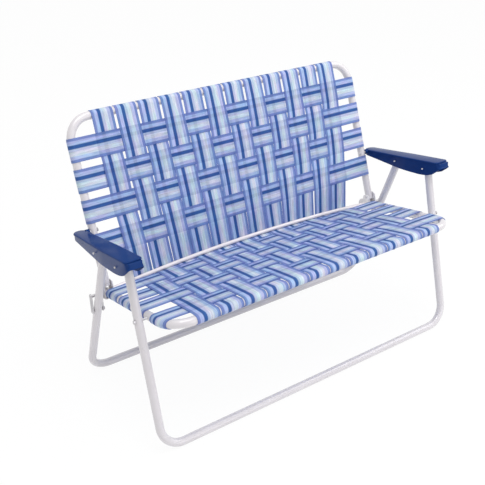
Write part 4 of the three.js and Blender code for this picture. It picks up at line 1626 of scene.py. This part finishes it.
@dataclass
class Hardware:
    """Rivets, bolts, plugs and plates at the pivots.

    A pin's row holds its node's first words, its body, its head's radius and the side its nut is
    on: 1 for outside, -1 for inside and 0 for no nut.
    """

    frames: TubeFrames
    shaft: float = 0.003
    shaft_share: float = 0.8
    dome: float = 0.0021
    dome_rows: Table = ((0.0, 0.3), (0.12, 0.55), (0.38, 0.82), (0.72, 0.97), (1.0, 1.0))
    neck: float = 0.0001
    sample: float = 0.030
    soft_edge: float = 0.0005
    nut_radius: float = 0.0055
    nut_height: float = 0.0024
    nut_rim: float = 0.0012
    nut_cap: Table = ((0.0007, 0.9), (0.0005, 0.7))
    nut_round: float = 0.0003
    nut_sunk: float = 0.0012
    pins: tuple[tuple[str, Body, float, int], ...] = (
        ("hinge_rivet", Body.BACK, 0.0056, 0),
        ("arm_rivet", Body.BACK, 0.0050, 0),
        ("seat_rivet", Body.FRONT_LEGS, 0.0056, 1),
        ("arm_front_rivet", Body.ARMS, 0.0026, 0),
        ("arm_rear_rivet", Body.ARMS, 0.0026, 0),
        ("link_rivet", Body.REAR_LEGS, 0.0056, -1),
    )
    plates: tuple[tuple[str, Body], ...] = (
        ("hinge_bracket", Body.SEAT),
        ("rail_bolt", Body.SEAT),
        ("link", Body.LINKS),
    )
    plug_profile: Table = (
        (0.0, 0.0108), (0.0004, 0.0111), (0.0026, 0.0111),
        (0.0043, 0.0104), (0.0054, 0.0087), (0.0060, 0.0058),
    )
    plug_gap: float = 0.0001

    def rivet(self, head: float) -> Piece:
        """Turns one rivet with a domed head at each end.

        Args:
            head: The heads' radius.

        Returns:
            The rivet.
        """
        near_end = [(self.dome * place, head * share) for place, share in self.dome_rows]
        far_end = [(self.sample - place, radius) for place, radius in reversed(near_end)]
        core = min(self.shaft, self.shaft_share * head)
        neck = self.dome + self.neck
        shaft = [(neck, core), (self.sample - self.dome - self.neck, core)]
        return turned("rivet_pattern", near_end + shaft + far_end, 24)

    def nut(self) -> Piece:
        """Models a six-sided nut with a domed cap along X.

        Returns:
            The nut.
        """
        shaper = Shaper.ring("nut_pattern", self.nut_radius, 6, ORIGIN, ACROSS, filled=True)
        shaper.extrude(ACROSS * self.nut_height)
        shaper.inset(self.nut_rim)
        for step, share in self.nut_cap:
            shaper.extrude(ACROSS * step)
            shaper.scale(share, Vector((self.nut_height + step, 0, 0)))
        shaper.bevel(is_sharp, self.nut_round, 2)
        return shaper.finish(35.0)

    def build_pins(self, steel: Finish) -> None:
        """Replaces the pins with domed rivets, some of them capped with nuts.

        Args:
            steel: Their plating.
        """
        patterns = {head: self.rivet(head) for head in sorted({pin[2] for pin in self.pins})}
        nut = self.nut()
        for (base, body, head, nut_side), (side, sign) in product(self.pins, SIDES.items()):
            node = f"{base}_{side}"
            low, high = (Vector(corner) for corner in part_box(node))
            piece = copy_of(patterns[head], f"{node}_domed")
            stretch = high.x - low.x - self.sample
            for corner in piece.data.vertices:
                corner.co.x += low.x + (stretch if corner.co.x > self.sample / 2 else 0.0)
            middle = Vector((0, (low.y + high.y) / 2, (low.z + high.z) / 2))
            piece.data.transform(Matrix.Translation(middle))
            if nut_side:
                facing = ACROSS * (sign * nut_side)
                tip = ACROSS * (high.x if facing.x > 0 else low.x)
                cap = set_along(nut, "nut", middle + tip - facing * self.nut_sunk, facing)
                piece = joined([piece, cap], f"{node}_domed")
            dress(piece, steel, Slot.HARDWARE, node, body=body)
        discard(*patterns.values(), nut)

    def build_plate(self, node: str) -> Piece:
        """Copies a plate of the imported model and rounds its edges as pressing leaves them.

        Args:
            node: The plate's node.

        Returns:
            The softened plate.
        """
        name = f"{node}_pressed"
        plate = rename(linked(name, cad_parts[node].data.copy()), name)
        bpy.ops.object.mode_set(mode="EDIT")
        bpy.ops.mesh.select_all(action="SELECT")
        bpy.ops.mesh.remove_doubles(threshold=0.000005)
        bpy.ops.mesh.dissolve_limited(angle_limit=math.radians(1.0))
        turn_outwards()
        modified(
            plate, "BEVEL", width=self.soft_edge, segments=2, limit_method="ANGLE", angle_limit=SHARP
        )
        shade(38.0)
        return plate

    def build(self, steel: Finish, bright: Finish, plastic: Finish) -> None:
        """Builds the pins, plates and plugs in place of their nodes.

        Args:
            steel: The pins', bolts' and links' plating.
            bright: The brackets' plating.
            plastic: The plugs' plastic.
        """
        self.build_pins(steel)
        for (base, body), side in product(self.plates, SIDES):
            node = f"{base}_{side}"
            plating = bright if base == "hinge_bracket" else steel
            dress(self.build_plate(node), plating, Slot.HARDWARE, node, body=body)
        plug = turned("plug_pattern", self.plug_profile, 28)
        end = self.frames.seat_rail - self.frames.seat_front + self.plug_gap
        for side, sign in SIDES.items():
            node = f"rail_plug_{side}"
            place = SEAT_PLANE.at(sign * self.frames.frame_half, end, 0)
            piece = set_along(plug, f"{node}_cap", place, SEAT_PLANE.way(1, 0))
            dress(piece, plastic, Slot.PLUG, node, body=Body.SEAT)
        discard(plug)


@dataclass
class Studio:
    """The pale floor, the soft light and the camera."""

    place: Place = (-1.2176, -1.5742, 1.3909)
    right: Place = (0.8146, -0.5800, 0.0)
    up: Place = (0.2716, 0.3815, 0.8836)
    forward: Place = (0.5125, 0.7198, -0.4683)
    lens: float = 59.41
    sensor: float = 36.0
    floor_radius: float = 7.0
    floor_drop: float = -0.0003
    floor_white: float = 0.94
    floor_tones: tuple[Colour, Colour] = (tone(250, 250, 250), tone(252, 252, 252))
    surround: float = 0.67
    aim: Place = (0.0, 0.0, 0.35)
    lamps: tuple[tuple[str, Place, float, float], ...] = (
        ("key_lamp", (-0.4, -0.9, 4.1), 2.4, 78.0),
        ("fill_lamp", (2.6, -1.2, 2.4), 2.2, 34.0),
        ("low_lamp", (0.7, -3.4, 0.7), 1.8, 12.0),
    )

    def build_camera(self) -> None:
        """Sets the camera at the photograph's viewing angle."""
        data = bpy.data.cameras.new("view")
        data.lens = self.lens
        data.sensor_width = self.sensor
        camera = bpy.data.objects.new("view", data)
        axes = Matrix((self.right, self.up, -Vector(self.forward))).transposed().to_4x4()
        camera.matrix_world = Matrix.Translation(self.place) @ axes
        bpy.context.collection.objects.link(camera)
        bpy.context.scene.camera = camera

    def build_floor(self) -> None:
        """Lays a pale floor that keeps the shadow and fades to white where it is looked at."""
        leave_selection()
        bpy.ops.mesh.primitive_circle_add(
            vertices=64, radius=self.floor_radius, fill_type="NGON", location=(0, 0, self.floor_drop)
        )
        bpy.ops.object.transform_apply(location=True, rotation=True, scale=True)
        floor = bpy.context.object
        floor.name = "floor"
        paint = bpy.data.materials.new("floor_white")
        bench = NodeBench(paint)
        shade_of_white = bench.mix(bench.noise(3.0, 2.0), *self.floor_tones)
        bench.set_shader({"Base Color": shade_of_white, "Roughness": 0.9})
        white = bench.add("Emission", {"Color": WHITE, "Strength": 1.0}).outputs[0]
        share = bench.math("MULTIPLY", bench.looked_at(), self.floor_white)
        bench.show("Material Output", share, bench.shader.outputs[0], white)
        floor.data.materials.append(paint)

    def build_light(self) -> None:
        """Sets a surround that looks white and lights less, and the soft square lamps."""
        world = bpy.data.worlds.new("surround")
        bpy.context.scene.world = world
        bench = NodeBench(world, "Background")
        bench.set_shader({"Color": WHITE, "Strength": 1.0})
        lit = bench.add("Background", {"Color": WHITE, "Strength": self.surround}).outputs[0]
        bench.show("World Output", bench.looked_at(), lit, bench.shader.outputs[0])
        for name, place, size, power in self.lamps:
            data = bpy.data.lights.new(name, "AREA")
            data.size = size
            data.energy = power
            lamp = bpy.data.objects.new(name, data)
            lamp.location = place
            facing = Vector(self.aim) - Vector(place)
            lamp.rotation_euler = facing.to_track_quat("-Z", "Y").to_euler()
            bpy.context.collection.objects.link(lamp)

    def build(self) -> None:
        """Builds the camera, floor and light."""
        self.build_camera()
        self.build_floor()
        self.build_light()
        bpy.context.scene.view_settings.view_transform = "Standard"
        log.info("studio ready")


def main() -> None:
    """Builds the studio, frames, webbing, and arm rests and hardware."""
    logging.basicConfig(level=logging.INFO, format="%(name)s: %(message)s")
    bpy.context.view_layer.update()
    Studio().build()
    frames = TubeFrames()
    # The rear bar's enamel is a lighter copy of the frame paint: painted light, brightening the bar
    # where it lies in the seat's shade.
    lit_bar_paint = TubePaint("lit_bar_enamel", tone(227, 221, 223), tone(212, 205, 210))
    frames.build(TubePaint().material(), lit_bar_paint.material())
    webbing = Webbing(frames)
    webbing.build(StripedWebbing().material())
    navy = MouldedPlastic("navy_plastic", tone(21, 51, 108), tone(40, 74, 132), 0.18, 0.06)
    ArmRests().build(navy.material())
    pale = MouldedPlastic("pale_plastic", tone(214, 212, 218), tone(230, 228, 234), 0.5)
    zinc = ZincPlate().material()
    bright = ZincPlate("bright_plate", tone(232, 230, 233), tone(206, 204, 208), 0.42, 0.1)
    Hardware(frames).build(zinc, bright.material(), pale.material())
    StrapScrews(webbing).build(zinc)


if __name__ == "__main__":
    main()
